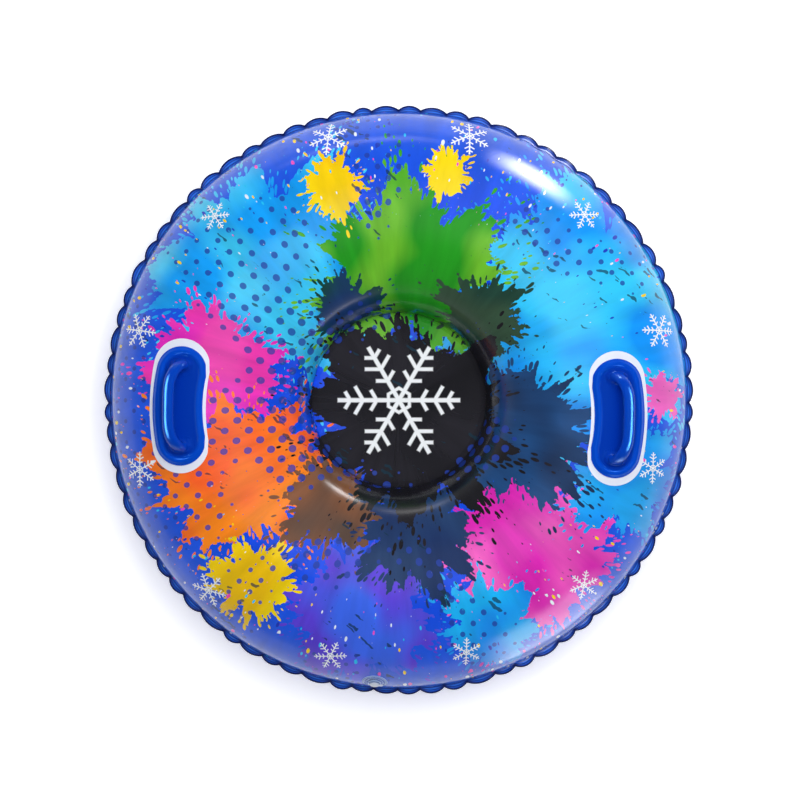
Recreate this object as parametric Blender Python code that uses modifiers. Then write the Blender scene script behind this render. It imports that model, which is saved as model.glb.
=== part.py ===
"""Inflatable snow tube with a printed top, two moulded carry handles and a capped air valve.

The tube lies on the ground. Z is up, the origin is on the ground under the middle of the seat, and the
valve is on the -Y side. Lengths are in metres, and angles in degrees.
"""

import math

import bmesh
import bpy
from mathutils import Vector

# The inflated ring: two sheets, welded together round the rim and round the seat
TUBE_RADIUS = 0.488
SEAT_RADIUS = 0.148
TUBE_HEIGHT = 0.235
CONTACT_WIDTH = 0.024
UPPER_SHEET = 0.00045
LOWER_SHEET = 0.0006
JOIN_GAP = 0.0003
RING_STEPS = 60
SECTION_STEPS = 12

# The rim: the sheets' welded edges, which the pressure puckers into scallops
RIM_WIDTH = 0.0065
SCALLOP_DEPTH = 0.007
SCALLOP_COUNT = 76
SCALLOP_STEPS = 4
RIM_RIPPLE = 0.002

# The seat: both sheets lying together inside a pressed weld
SEAT_WELD_WIDTH = 0.009
SEAT_WELD_DEPTH = 0.00025

# The handles: a white backing patch, a moulded pad and a grip that arches over it. They lie a little
# outwards of the tube's crown, and their outer sides face almost straight left and right
HANDLE_OUTWARD = 0.047
HANDLE_AZIMUTHS = {"left": 181.5, "right": -4.8}
HANDLE_FACINGS = {"left": 179.0, "right": -1.2}
HANDLE_BOW = 0.006
PATCH_WIDTH = 0.095
PATCH_LENGTH = 0.226
PATCH_SHEET = 0.0005
PAD_WIDTH = 0.084
PAD_LENGTH = 0.200
PAD_PLATE = 0.0016
PAD_LIP = 0.0025
BORDER_WIDTH = 0.0105
BORDER_HEIGHT = 0.0030
BOSS_WIDTH = 0.038
BOSS_LENGTH = 0.024
BOSS_HEIGHT = 0.0055
GRIP_SPAN = 0.138
GRIP_RISE = 0.036
GRIP_BOW = 0.014
GRIP_WIDTH = 0.019
GRIP_THICKNESS = 0.0135
GRIP_POWER = 2.9
GRIP_FLARE_SHARE = 0.25
SIDE_STEPS = 6
END_STEPS = 9
GRIP_STEPS = 18
GRIP_SIDES = 14

# The valve: a welded base, a stem that is pushed in flush, a cap on a strap and a non-return flap
VALVE_AZIMUTH = -94.9
VALVE_TILT = 27.0
BASE_RADIUS = 0.022
BASE_SHEET = 0.0008
RIDGE_RADII = (0.0145, 0.0190)
RIDGE_WIDTH = 0.0012
RIDGE_HEIGHT = 0.0006
COLLAR_RADIUS = 0.0108
COLLAR_HEIGHT = 0.0030
COLLAR_FILLET = 0.0008
SOCKET_WALL = 0.0014
SOCKET_DEPTH = 0.0060
SOCKET_LEAD = 0.0003
STEM_RADIUS = 0.0070
STEM_BORE = 0.0045
STEM_TRAVEL = 0.009
LIP_RADIUS = 0.0095
LIP_HEIGHT = 0.0012
FOOT_RADIUS = 0.0088
FOOT_HEIGHT = 0.0015
CAP_RADIUS = 0.0080
CAP_HEIGHT = 0.0016
CAP_CROWN = 0.0006
PLUG_LENGTH = 0.0050
PLUG_TAPER = 0.0008
PLUG_BORE = 0.0025
TAB_LENGTH = 0.0060
TAB_WIDTH = 0.0070
TAB_HEIGHT = 0.0011
TAB_ROOT = 0.0010
STRAP_WIDTH = 0.0050
STRAP_FOLD = 0.0006
FLAP_RADIUS = 0.0062
FLAP_SHEET = 0.0005
FLAP_TAIL = 0.0016
ROUND_STEPS = 28

# How far a cutter runs past what it cuts, and how near two points are one point
OVERRUN = 0.002
MERGE_DISTANCE = 0.00001

PRINT_BLUE = (0.010, 0.110, 0.640)
SHEET_BLUE = (0.004, 0.060, 0.480)
MOULDED_BLUE = (0.003, 0.075, 0.560)
PATCH_WHITE = (0.820, 0.840, 0.880)
VALVE_CLEAR = (0.620, 0.700, 0.820)

# The tube's section is an ellipse, cut off at the ground by the width that rests on it
SECTION_RADIUS = (TUBE_RADIUS + SEAT_RADIUS) / 2
HALF_WIDTH = (TUBE_RADIUS - SEAT_RADIUS) / 2
CONTACT_ANGLE = math.asin(CONTACT_WIDTH / 2 / HALF_WIDTH)
HALF_HEIGHT = TUBE_HEIGHT / (1 + math.cos(CONTACT_ANGLE))
SEAM_HEIGHT = TUBE_HEIGHT - HALF_HEIGHT
SEAM_ANGLE = math.asin(JOIN_GAP / 2 / HALF_HEIGHT)
SEAT_THICKNESS = UPPER_SHEET + LOWER_SHEET

# Heights above the upper sheet at which the layers of a handle start and end
PATCH_LOW = JOIN_GAP
PATCH_HIGH = PATCH_LOW + PATCH_SHEET
PAD_LOW = PATCH_HIGH + JOIN_GAP
PAD_HIGH = PAD_LOW + PAD_PLATE
PAD_MIDDLE = (PAD_LOW + PAD_HIGH) / 2
BOSS_HIGH = PAD_HIGH + BOSS_HEIGHT

# Heights above the upper sheet at which the layers of the valve's base start and end
BASE_LOW = JOIN_GAP
BASE_HIGH = BASE_LOW + BASE_SHEET
BASE_MIDDLE = (BASE_LOW + BASE_HIGH) / 2
SOCKET_BORE = STEM_RADIUS + JOIN_GAP
SOCKET_RADIUS = SOCKET_BORE + SOCKET_WALL

# Heights along the valve's axis, from the sheet outwards
LIP_LOW = COLLAR_HEIGHT + JOIN_GAP
LIP_HIGH = LIP_LOW + LIP_HEIGHT
FOOT_HIGH = -SOCKET_DEPTH - STEM_TRAVEL - JOIN_GAP
FOOT_LOW = FOOT_HIGH - FOOT_HEIGHT


def spaced(first, last, steps):
    """Evenly spaced values from first to last, both included."""
    return [first + (last - first) * i / steps for i in range(steps + 1)]


def section_point(angle, offset=0.0):
    """Point (radius, height) of the tube's section at an angle, moved out along its normal."""
    across = math.cos(angle)
    up = math.sin(angle)
    normal = Vector((across * HALF_HEIGHT, up * HALF_WIDTH)).normalized()
    radius = SECTION_RADIUS + HALF_WIDTH * across + offset * normal.x
    height = SEAM_HEIGHT + HALF_HEIGHT * up + offset * normal.y
    return radius, height


def on_tube(angle, azimuth):
    """Point of the upper sheet at an angle of the section and an azimuth round the tube."""
    radius, height = section_point(angle)
    turn = math.radians(azimuth)
    return Vector((radius * math.cos(turn), radius * math.sin(turn), height))


def make_collection(name):
    collection = bpy.data.collections.new(name)
    bpy.context.scene.collection.children.link(collection)
    return collection


def make_material(name, color, roughness, coat=0.0):
    material = bpy.data.materials.new(name)
    material.use_nodes = True
    shader = material.node_tree.nodes["Principled BSDF"]
    shader.inputs["Base Color"].default_value = (*color, 1)
    shader.inputs["Roughness"].default_value = roughness
    shader.inputs["Metallic"].default_value = 0
    shader.inputs["Coat Weight"].default_value = coat
    material.diffuse_color = (*color, 1)
    return material


def add_object(name, data, collection, parent=None, location=(0, 0, 0)):
    made = bpy.data.objects.new(name, data)
    collection.objects.link(made)
    made.parent = parent
    made.location = location
    return made


def as_cutter(made):
    """A cutter shapes other pieces and isn't one itself."""
    made.hide_render = True
    made.display_type = "WIRE"
    return made


def boolean(target, other, operation):
    modifier = target.modifiers.new(operation.lower(), "BOOLEAN")
    modifier.operation = operation
    modifier.solver = "EXACT"
    modifier.object = other


def finish(made, material):
    """Gives a piece its material and shades its round faces smooth."""
    made.data.materials.append(material)
    made.data.shade_smooth()
    made.data.set_sharp_from_angle(angle=math.radians(35))
    return made


def object_of(edit, name, collection, parent=None, location=(0, 0, 0)):
    """Turns a mesh under edit into an object."""
    mesh = bpy.data.meshes.new(name)
    edit.to_mesh(mesh)
    edit.free()
    return add_object(name, mesh, collection, parent, location)


def turned(name, profile, steps, collection, closed=True, parent=None, location=(0, 0, 0)):
    """A profile of (radius, height) points, turned round Z by a Screw modifier."""
    edit = bmesh.new()
    points = [edit.verts.new((radius, 0, height)) for radius, height in profile]
    for first, second in zip(points, points[1:]):
        edit.edges.new((first, second))
    if closed:
        edit.edges.new((points[-1], points[0]))
    made = object_of(edit, name, collection, parent, location)
    screw = made.modifiers.new("turn", "SCREW")
    screw.steps = steps
    screw.render_steps = steps
    screw.use_merge_vertices = True
    screw.merge_threshold = MERGE_DISTANCE
    return made


def cylinder(name, radius, low, high, collection, parent=None, location=(0, 0, 0)):
    """A plain round solid on its own Z, between two heights."""
    edit = bmesh.new()
    depth = high - low
    bmesh.ops.create_cone(
        edit, cap_ends=True, segments=ROUND_STEPS, radius1=radius, radius2=radius, depth=depth
    )
    bmesh.ops.translate(edit, verts=edit.verts, vec=(0, 0, (high + low) / 2))
    return object_of(edit, name, collection, parent, location)


def box(name, low, high, collection, parent):
    """A box between two corners in the parent's frame."""
    edit = bmesh.new()
    bmesh.ops.create_cube(edit, size=1)
    bmesh.ops.scale(edit, verts=edit.verts, vec=[b - a for a, b in zip(low, high)])
    bmesh.ops.translate(edit, verts=edit.verts, vec=[(a + b) / 2 for a, b in zip(low, high)])
    return object_of(edit, name, collection, parent)


def solidify(made, thickness, offset):
    modifier = made.modifiers.new("sheet", "SOLIDIFY")
    modifier.thickness = thickness
    modifier.offset = offset


def mesh_of_curve(curve_object, collection):
    """Replaces a curve object with a closed mesh object, so that it can be cut."""
    bpy.context.view_layer.update()
    graph = bpy.context.evaluated_depsgraph_get()
    edit = bmesh.new()
    edit.from_mesh(bpy.data.meshes.new_from_object(curve_object.evaluated_get(graph)))
    bmesh.ops.remove_doubles(edit, verts=edit.verts, dist=MERGE_DISTANCE)
    bmesh.ops.recalc_face_normals(edit, faces=edit.faces)
    name = curve_object.name
    world = curve_object.matrix_world.copy()
    bpy.data.objects.remove(curve_object)
    made = object_of(edit, name, collection)
    made.matrix_world = world
    return made


def poly_spline(curve, points, cyclic):
    spline = curve.splines.new("POLY")
    spline.points.add(len(points) - 1)
    spline.use_cyclic_u = cyclic
    for point, place in zip(spline.points, points):
        point.co = (*place, 1)
    return spline


def prism(name, outlines, place, collection):
    """Flat outlines, the second one a hole, extruded through the tube's upper half at a handle's place."""
    low = SEAM_HEIGHT
    high = TUBE_HEIGHT + GRIP_RISE
    curve = bpy.data.curves.new(name, "CURVE")
    curve.dimensions = "2D"
    curve.fill_mode = "BOTH"
    curve.extrude = (high - low) / 2
    for outline in outlines:
        poly_spline(curve, [(x, y, 0) for x, y in outline], cyclic=True)
    location = (place.location.x, place.location.y, (high + low) / 2)
    made = add_object(name, curve, collection, location=location)
    made.rotation_euler = (0, 0, place.rotation_euler.z)
    return mesh_of_curve(made, collection)


def kidney_outline(inset, width, length):
    """A stadium whose middle line bows outwards, drawn in by an inset, as (outwards, along) points."""
    half = width / 2 - inset
    reach = (length - width) / 2
    lean = math.atan(2 * HANDLE_BOW / reach)

    def side(along, sign):
        slope = math.atan(-2 * HANDLE_BOW * along / reach**2)
        middle = HANDLE_BOW * (1 - (along / reach) ** 2)
        return middle + sign * half * math.cos(slope), along - sign * half * math.sin(slope)

    def end(turn, sign):
        angle = math.radians(turn) + lean * math.cos(math.radians(turn))
        return half * math.cos(angle), sign * (reach + half * math.sin(angle))

    outer = [side(along, 1) for along in spaced(-reach, reach, SIDE_STEPS)]
    far_end = [end(turn, 1) for turn in spaced(0, 180, END_STEPS)[1:-1]]
    inner = [side(along, -1) for along in spaced(reach, -reach, SIDE_STEPS)]
    near_end = [end(turn, -1) for turn in spaced(180, 0, END_STEPS)[1:-1]]
    return outer + far_end + inner + near_end


def oval_outline(width, length, along, steps):
    turns = [2 * math.pi * i / steps for i in range(steps)]
    return [(width / 2 * math.cos(turn), along + length / 2 * math.sin(turn)) for turn in turns]


def sheet_layer(name, low, high, collection):
    """A cutter between two heights above the upper sheet, faceted as the sheet is."""
    angles = spaced(SEAM_ANGLE, math.pi - SEAM_ANGLE, SECTION_STEPS)
    top = [section_point(angle, high) for angle in reversed(angles)]
    bottom = [section_point(angle, low) for angle in angles]
    return as_cutter(turned(name, top + bottom, RING_STEPS, collection))


def make_layers(cutters):
    """The layers above the upper sheet that shape the handles and the valve's base."""
    heights = {
        "patch": (PATCH_LOW, PATCH_HIGH),
        "plate": (PAD_LOW, PAD_HIGH),
        "border": (PAD_MIDDLE, PAD_HIGH + BORDER_HEIGHT),
        "boss": (PAD_MIDDLE, BOSS_HIGH),
        "under_grip": (-GRIP_RISE, BOSS_HIGH + JOIN_GAP),
        "base": (BASE_LOW, BASE_HIGH),
        "ridge": (BASE_MIDDLE, BASE_HIGH + RIDGE_HEIGHT),
    }
    return {name: sheet_layer(name + "_layer", *span, cutters) for name, span in heights.items()}


def make_sheets(parts, print_material, sheet_material):
    """The upper and lower sheets, from the rim weld round to the seat weld."""
    upper_angles = spaced(math.pi - SEAM_ANGLE, SEAM_ANGLE, SECTION_STEPS)
    upper_profile = [section_point(angle) for angle in upper_angles]
    upper = turned("upper_sheet", upper_profile, RING_STEPS, parts, closed=False)
    solidify(upper, UPPER_SHEET, -1)

    contact = math.pi / 2 - CONTACT_ANGLE
    outer_angles = spaced(-SEAM_ANGLE, -contact, SECTION_STEPS // 2)
    inner_angles = spaced(contact - math.pi, SEAM_ANGLE - math.pi, SECTION_STEPS // 2)
    lower_profile = [section_point(angle) for angle in outer_angles + inner_angles]
    lower = turned("lower_sheet", lower_profile, RING_STEPS, parts, closed=False)
    solidify(lower, LOWER_SHEET, -1)
    finish(lower, sheet_material)
    return finish(upper, print_material)


def make_seat(parts, material):
    """The seat panel: both sheets together, thinned by the weld round the edge."""
    edge = SEAT_RADIUS * math.cos(math.pi / RING_STEPS) - JOIN_GAP
    weld = edge - SEAT_WELD_WIDTH
    half = SEAT_THICKNESS / 2
    pressed = half - SEAT_WELD_DEPTH
    top = [(0, half), (weld, half), (weld + SEAT_WELD_DEPTH, pressed), (edge, pressed)]
    bottom = [(radius, -height) for radius, height in reversed(top)]
    place = (0, 0, SEAM_HEIGHT)
    seat = turned("seat_panel", top + bottom, RING_STEPS, parts, closed=False, location=place)
    return finish(seat, material)


def make_rim(parts, material):
    """The rim flange: an edge spun round the tube, whose outer points are then scalloped and rippled."""
    inner = TUBE_RADIUS + JOIN_GAP
    valley = inner + RIM_WIDTH
    edit = bmesh.new()
    ends = [edit.verts.new((radius, 0, 0)) for radius in (inner, valley)]
    edge = edit.edges.new(ends)
    steps = SCALLOP_COUNT * SCALLOP_STEPS
    whole_turn = {"axis": (0, 0, 1), "cent": (0, 0, 0), "angle": 2 * math.pi}
    bmesh.ops.spin(edit, geom=[*ends, edge], steps=steps, use_merge=True, **whole_turn)
    for vertex in edit.verts:
        radius = vertex.co.xy.length
        if radius < (inner + valley) / 2:
            continue
        angle = math.atan2(vertex.co.y, vertex.co.x)
        bulge = abs(math.sin(SCALLOP_COUNT * angle / 2))
        vertex.co.xy *= (valley + SCALLOP_DEPTH * bulge) / radius
        vertex.co.z = RIM_RIPPLE * math.cos(SCALLOP_COUNT * angle)
    bmesh.ops.recalc_face_normals(edit, faces=edit.faces)
    rim = object_of(edit, "rim_flange", parts, location=(0, 0, SEAM_HEIGHT))
    solidify(rim, SEAT_THICKNESS, 0)
    return finish(rim, material)


def make_grip(name, place, parts, cutters, under_grip):
    """The grip: an oval section carried along a flat-topped arch that bows outwards, cut to its bosses."""
    section = bpy.data.curves.new(name + "_section", "CURVE")
    section.dimensions = "2D"
    oval = oval_outline(GRIP_WIDTH, GRIP_THICKNESS, 0, GRIP_SIDES)
    poly_spline(section, [(x, y, 0) for x, y in oval], cyclic=True)
    section_object = as_cutter(add_object(name + "_section", section, cutters))

    reach = GRIP_SPAN / 2
    points = []
    for turn in spaced(0, math.pi, GRIP_STEPS):
        along = reach * math.copysign(abs(math.cos(turn)) ** (2 / GRIP_POWER), math.cos(turn))
        rise = GRIP_RISE * abs(math.sin(turn)) ** (2 / GRIP_POWER)
        points.append((GRIP_BOW * (1 - (along / reach) ** 4), along, rise))
    curve = bpy.data.curves.new(name, "CURVE")
    curve.dimensions = "3D"
    curve.bevel_mode = "OBJECT"
    curve.bevel_object = section_object
    curve.use_fill_caps = True
    curve.twist_mode = "Z_UP"
    spline = poly_spline(curve, points, cyclic=False)
    for point in spline.points:
        point.radius = 1 + GRIP_FLARE_SHARE * abs(point.co.y / reach) ** 6
    grip = mesh_of_curve(add_object(name, curve, parts, place), parts)
    boolean(grip, under_grip, "DIFFERENCE")
    return grip


def make_handle(side, azimuth, parts, cutters, layers, patch_material, pad_material):
    """One handle: the patch and the pad follow the sheet, and the grip stands on the pad's two bosses."""
    angle = math.acos(HANDLE_OUTWARD / HALF_WIDTH)
    lean = math.atan2(math.cos(angle) * HALF_HEIGHT, math.sin(angle) * HALF_WIDTH)
    place = add_object(f"{side}_handle_place", None, parts, location=on_tube(angle, azimuth))
    place.rotation_euler = (0, lean, math.radians(HANDLE_FACINGS[side]))

    patch = prism(
        f"{side}_handle_patch", [kidney_outline(0, PATCH_WIDTH, PATCH_LENGTH)], place, parts
    )
    boolean(patch, layers["patch"], "INTERSECT")
    finish(patch, patch_material)

    pad = prism(f"{side}_handle_pad", [kidney_outline(0, PAD_WIDTH, PAD_LENGTH)], place, parts)
    boolean(pad, layers["plate"], "INTERSECT")
    insets = (PAD_LIP, PAD_LIP + BORDER_WIDTH)
    outlines = [kidney_outline(inset, PAD_WIDTH, PAD_LENGTH) for inset in insets]
    border = as_cutter(prism(f"{side}_border", outlines, place, cutters))
    boolean(border, layers["border"], "INTERSECT")
    boolean(pad, border, "UNION")
    for end, along in (("far", GRIP_SPAN / 2), ("near", -GRIP_SPAN / 2)):
        outline = oval_outline(BOSS_WIDTH, BOSS_LENGTH, along, GRIP_SIDES)
        boss = as_cutter(prism(f"{side}_{end}_boss", [outline], place, cutters))
        boolean(boss, layers["boss"], "INTERSECT")
        boolean(pad, boss, "UNION")
    finish(pad, pad_material)
    grip = make_grip(f"{side}_handle_grip", place, parts, cutters, layers["under_grip"])
    finish(grip, pad_material)


def make_valve_base(parts, cutters, layers, valve):
    """The base: a welded disc with two ridges, and the collar and socket that hold the stem."""
    base = cylinder("valve_base", BASE_RADIUS, -BASE_RADIUS, BASE_RADIUS, parts, valve)
    boolean(base, layers["base"], "INTERSECT")
    for number, radius in enumerate(RIDGE_RADII):
        inner = radius - RIDGE_WIDTH / 2
        outer = radius + RIDGE_WIDTH / 2
        profile = [(inner, BASE_RADIUS), (outer, BASE_RADIUS), (outer, -BASE_RADIUS), (inner, -BASE_RADIUS)]
        ridge = as_cutter(turned(f"valve_ridge_{number}", profile, ROUND_STEPS, cutters, parent=valve))
        boolean(ridge, layers["ridge"], "INTERSECT")
        boolean(base, ridge, "UNION")
    start = SOCKET_BORE - SOCKET_LEAD
    profile = [
        (start, COLLAR_HEIGHT),
        (COLLAR_RADIUS, COLLAR_HEIGHT),
        (COLLAR_RADIUS + COLLAR_FILLET, BASE_MIDDLE),
        (SOCKET_RADIUS, BASE_MIDDLE),
        (SOCKET_RADIUS, -SOCKET_DEPTH),
        (start, -SOCKET_DEPTH),
    ]
    collar = as_cutter(turned("valve_collar", profile, ROUND_STEPS, cutters, parent=valve))
    boolean(base, collar, "UNION")
    low = -SOCKET_DEPTH - OVERRUN
    high = COLLAR_HEIGHT + OVERRUN
    bore = cylinder("valve_socket_bore", SOCKET_BORE, low, high, cutters, valve)
    boolean(base, as_cutter(bore), "DIFFERENCE")
    return base


def make_valve_stem(parts, valve):
    """The stem: a lip that stops on the collar, a bore for the plug and a foot that stops on the socket."""
    profile = [
        (STEM_BORE, LIP_HIGH),
        (LIP_RADIUS, LIP_HIGH),
        (LIP_RADIUS, LIP_LOW),
        (STEM_RADIUS, LIP_LOW),
        (STEM_RADIUS, FOOT_HIGH),
        (FOOT_RADIUS, FOOT_HIGH),
        (FOOT_RADIUS, FOOT_LOW),
        (STEM_BORE, FOOT_LOW),
    ]
    return turned("valve_stem", profile, ROUND_STEPS, parts, parent=valve)


def make_valve_cap(parts, cutters, hinge, reach):
    """The cap: a crowned head, a hollow tapered plug and a pull tab, at its reach from the strap's fold."""
    low = JOIN_GAP - STRAP_FOLD
    high = low + CAP_HEIGHT
    plug = STEM_BORE - JOIN_GAP
    profile = [
        (0, high + CAP_CROWN),
        (CAP_RADIUS / 2, high + CAP_CROWN / 2),
        (CAP_RADIUS, high),
        (CAP_RADIUS, low),
        (plug, low),
        (plug - PLUG_TAPER, low - PLUG_LENGTH),
        (PLUG_BORE, low - PLUG_LENGTH),
        (PLUG_BORE, low),
        (0, low),
    ]
    cap = turned("valve_cap", profile, ROUND_STEPS, parts, False, hinge, (reach, 0, 0))
    tab_low = low + (CAP_HEIGHT - TAB_HEIGHT) / 2
    start = (reach + CAP_RADIUS - TAB_ROOT, -TAB_WIDTH / 2, tab_low)
    end = (reach + CAP_RADIUS + TAB_LENGTH, TAB_WIDTH / 2, tab_low + TAB_HEIGHT)
    boolean(cap, as_cutter(box("valve_tab", start, end, cutters, hinge)), "UNION")
    return cap


def make_valve_strap(parts, cutters, hinge, reach):
    """The strap: a round fold on the hinge line, and a flat tongue that reaches the cap's edge."""
    half = STRAP_WIDTH / 2
    strap = cylinder("valve_strap", STRAP_FOLD, -half, half, parts, hinge)
    strap.rotation_euler = (math.pi / 2, 0, 0)
    start = (0, JOIN_GAP - half, -STRAP_FOLD / 2)
    end = (reach - CAP_RADIUS - JOIN_GAP, half - JOIN_GAP, STRAP_FOLD / 2)
    boolean(strap, as_cutter(box("valve_tongue", start, end, cutters, hinge)), "UNION")
    return strap


def make_valve_flap(parts, cutters, valve):
    """The non-return flap: a disc under the stem, with a tail that ends on its hinge line."""
    reach = FLAP_RADIUS + FLAP_TAIL
    half = FLAP_SHEET / 2
    place = (-reach, 0, FOOT_LOW - JOIN_GAP - half)
    hinge = add_object("valve_flap_hinge", None, parts, valve, place)
    flap = cylinder("valve_flap", FLAP_RADIUS, -half, half, parts, hinge, (reach, 0, 0))
    start = (0, -STRAP_WIDTH / 2, -half)
    end = (reach, STRAP_WIDTH / 2, half / 2)
    boolean(flap, as_cutter(box("valve_flap_tail", start, end, cutters, hinge)), "UNION")
    return flap


def make_valve(parts, cutters, layers, upper, material):
    """The valve stands square to the tube's outer shoulder, and its hole goes through the upper sheet."""
    angle = math.atan(math.tan(math.radians(VALVE_TILT)) * HALF_HEIGHT / HALF_WIDTH)
    valve = add_object("valve_axis", None, parts, location=on_tube(angle, VALVE_AZIMUTH))
    valve.rotation_euler = (math.radians(90 - VALVE_TILT), 0, math.radians(VALVE_AZIMUTH + 90))
    hole = cylinder("valve_hole", SOCKET_RADIUS + JOIN_GAP, -BASE_RADIUS, BASE_RADIUS, cutters, valve)
    boolean(upper, as_cutter(hole), "DIFFERENCE")

    reach = LIP_RADIUS + JOIN_GAP + STRAP_FOLD
    place = (-reach, 0, LIP_HIGH + STRAP_FOLD)
    hinge = add_object("valve_cap_hinge", None, parts, valve, place)
    pieces = [
        make_valve_base(parts, cutters, layers, valve),
        make_valve_stem(parts, valve),
        make_valve_cap(parts, cutters, hinge, reach),
        make_valve_strap(parts, cutters, hinge, reach),
        make_valve_flap(parts, cutters, valve),
    ]
    for piece in pieces:
        finish(piece, material)


def main():
    for old in list(bpy.data.objects):
        bpy.data.objects.remove(old)
    parts = make_collection("snow_tube")
    cutters = make_collection("cutters")
    print_material = make_material("printed_sheet", PRINT_BLUE, 0.20, 0.5)
    sheet_material = make_material("blue_sheet", SHEET_BLUE, 0.30, 0.3)
    pad_material = make_material("moulded_handle", MOULDED_BLUE, 0.22, 0.4)
    patch_material = make_material("white_patch", PATCH_WHITE, 0.35)
    valve_material = make_material("clear_valve", VALVE_CLEAR, 0.25)

    layers = make_layers(cutters)
    upper = make_sheets(parts, print_material, sheet_material)
    make_seat(parts, print_material)
    make_rim(parts, sheet_material)
    for side, azimuth in HANDLE_AZIMUTHS.items():
        make_handle(side, azimuth, parts, cutters, layers, patch_material, pad_material)
    make_valve(parts, cutters, layers, upper, valve_material)


main()
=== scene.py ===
# %% [markdown]
# # An inflated snow tube
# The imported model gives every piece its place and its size. This lesson gives each piece the surface that
# the real one has: printed PVC film under pressure, a welded edge that puckers, moulded handles and a clear
# air valve. Every shape is a formula on a grid of two parameters, worked out with numpy as whole arrays.

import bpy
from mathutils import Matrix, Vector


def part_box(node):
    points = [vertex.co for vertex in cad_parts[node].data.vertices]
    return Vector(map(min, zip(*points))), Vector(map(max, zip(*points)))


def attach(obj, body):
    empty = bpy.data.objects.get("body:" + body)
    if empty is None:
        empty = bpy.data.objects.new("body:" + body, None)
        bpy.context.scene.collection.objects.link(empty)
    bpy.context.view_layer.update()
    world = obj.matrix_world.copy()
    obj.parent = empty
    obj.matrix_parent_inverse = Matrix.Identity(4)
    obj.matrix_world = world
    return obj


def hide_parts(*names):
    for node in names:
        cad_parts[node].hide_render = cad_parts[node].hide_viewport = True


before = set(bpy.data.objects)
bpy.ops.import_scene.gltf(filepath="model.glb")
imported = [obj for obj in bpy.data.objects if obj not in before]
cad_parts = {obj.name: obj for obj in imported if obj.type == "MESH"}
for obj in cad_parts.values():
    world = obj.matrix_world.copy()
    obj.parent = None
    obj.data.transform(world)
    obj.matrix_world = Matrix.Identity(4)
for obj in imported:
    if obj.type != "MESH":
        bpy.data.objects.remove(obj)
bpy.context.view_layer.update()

import math

import bmesh
import bpy
import numpy as np
from mathutils import Euler, Matrix, Vector

# %% [markdown]
# ## Sizes
# The ring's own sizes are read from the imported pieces, so the new surfaces fit them without measuring twice.
# The ring was cut from flat discs, and the arc round its section says how big those discs were.

# %% Read the ring's sizes
MM = 0.001
GAP = 0.3 * MM
upper_low, upper_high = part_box("upper_sheet")
TUBE_RADIUS = upper_high.x
SEAT_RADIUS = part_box("seat_panel")[1].x + GAP
SEAM_HEIGHT = upper_low.z - GAP / 2
HALF_HEIGHT = upper_high.z - SEAM_HEIGHT
HALF_WIDTH = (TUBE_RADIUS - SEAT_RADIUS) / 2
SECTION_RADIUS = (TUBE_RADIUS + SEAT_RADIUS) / 2
RIM_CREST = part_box("rim_flange")[1].x
TURN = 2 * math.pi


def ring_section(turn, lift=0.0):
    """Radius and height on the inflated section.

    The section is an ellipse: radius = middle + half width * cos(turn), height = seam + half height *
    sin(turn). A lift moves the point out along the ellipse's normal.
    """
    across, up = np.cos(turn), np.sin(turn)
    steep = np.hypot(across * HALF_HEIGHT, up * HALF_WIDTH)
    radius = SECTION_RADIUS + HALF_WIDTH * across + lift * across * HALF_HEIGHT / steep
    height = SEAM_HEIGHT + HALF_HEIGHT * up + lift * up * HALF_WIDTH / steep
    return radius, height


fine_turns = np.linspace(0, math.pi, 4001)
fine_steps = np.hypot(*[np.diff(line) for line in ring_section(fine_turns)])
ARC = np.concatenate([[0], np.cumsum(fine_steps)])
HALF_ROUND = ARC[-1]
FLAT_RADIUS = SEAT_RADIUS + HALF_ROUND


def turn_at(arc):
    """Angle on the section at an arc length from the rim seam, read off the measured arc."""
    return np.interp(arc, ARC, fine_turns)


def around(count):
    """Evenly spaced azimuths of one whole turn, the last one left out."""
    return np.arange(count) * TURN / count


print(f"ring {2 * TUBE_RADIUS:.3f} m across, cut from discs {2 * FLAT_RADIUS:.2f} m across")

# %% [markdown]
# ## Grids into meshes
# A grid of points becomes faces by pairing each point with its neighbours in the next row and column. Rows
# run so that the faces look outwards. Where a row shrinks to one point, its doubles are merged, which
# closes the pole.

# %% Make meshes from arrays
def mesh_from(name, points, faces, flat=None):
    """A mesh from an array of points and a list of arrays of corners; flat holds one UV place a point."""
    mesh = bpy.data.meshes.new(name)
    corners = np.concatenate([array.ravel() for array in faces]).astype(np.int32)
    sizes = np.concatenate([np.full(len(array), array.shape[1]) for array in faces])
    mesh.vertices.add(len(points))
    mesh.vertices.foreach_set("co", points.astype(np.float32).ravel())
    mesh.loops.add(len(corners))
    mesh.loops.foreach_set("vertex_index", corners)
    mesh.polygons.add(len(sizes))
    starts = np.concatenate([[0], np.cumsum(sizes)[:-1]]).astype(np.int32)
    mesh.polygons.foreach_set("loop_start", starts)
    if flat is not None:
        layer = mesh.uv_layers.new(name="flat sheet")
        layer.uv.foreach_set("vector", flat[corners].astype(np.float32).ravel())
    mesh.update(calc_edges=True)
    mesh.validate()
    mesh.shade_smooth()
    return mesh


def grid_faces(rows, columns, wrap_columns=True, wrap_rows=False, start=0):
    """Corners of the quads of a grid: (row, column), (row, next), (next row, next), (next row, column)."""
    index = start + np.arange(rows * columns).reshape(rows, columns)
    if wrap_columns:
        index = np.concatenate([index, index[:, :1]], axis=1)
    if wrap_rows:
        index = np.concatenate([index, index[:1]], axis=0)
    quads = [index[:-1, :-1], index[:-1, 1:], index[1:, 1:], index[1:, :-1]]
    return np.stack(quads, axis=-1).reshape(-1, 4)


def closed_up(mesh):
    """Merges a closed surface's doubled points and turns its faces outwards."""
    edit = bmesh.new()
    edit.from_mesh(mesh)
    bmesh.ops.remove_doubles(edit, verts=edit.verts, dist=0.002 * MM)
    bmesh.ops.recalc_face_normals(edit, faces=edit.faces)
    edit.to_mesh(mesh)
    edit.free()
    return mesh


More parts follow.
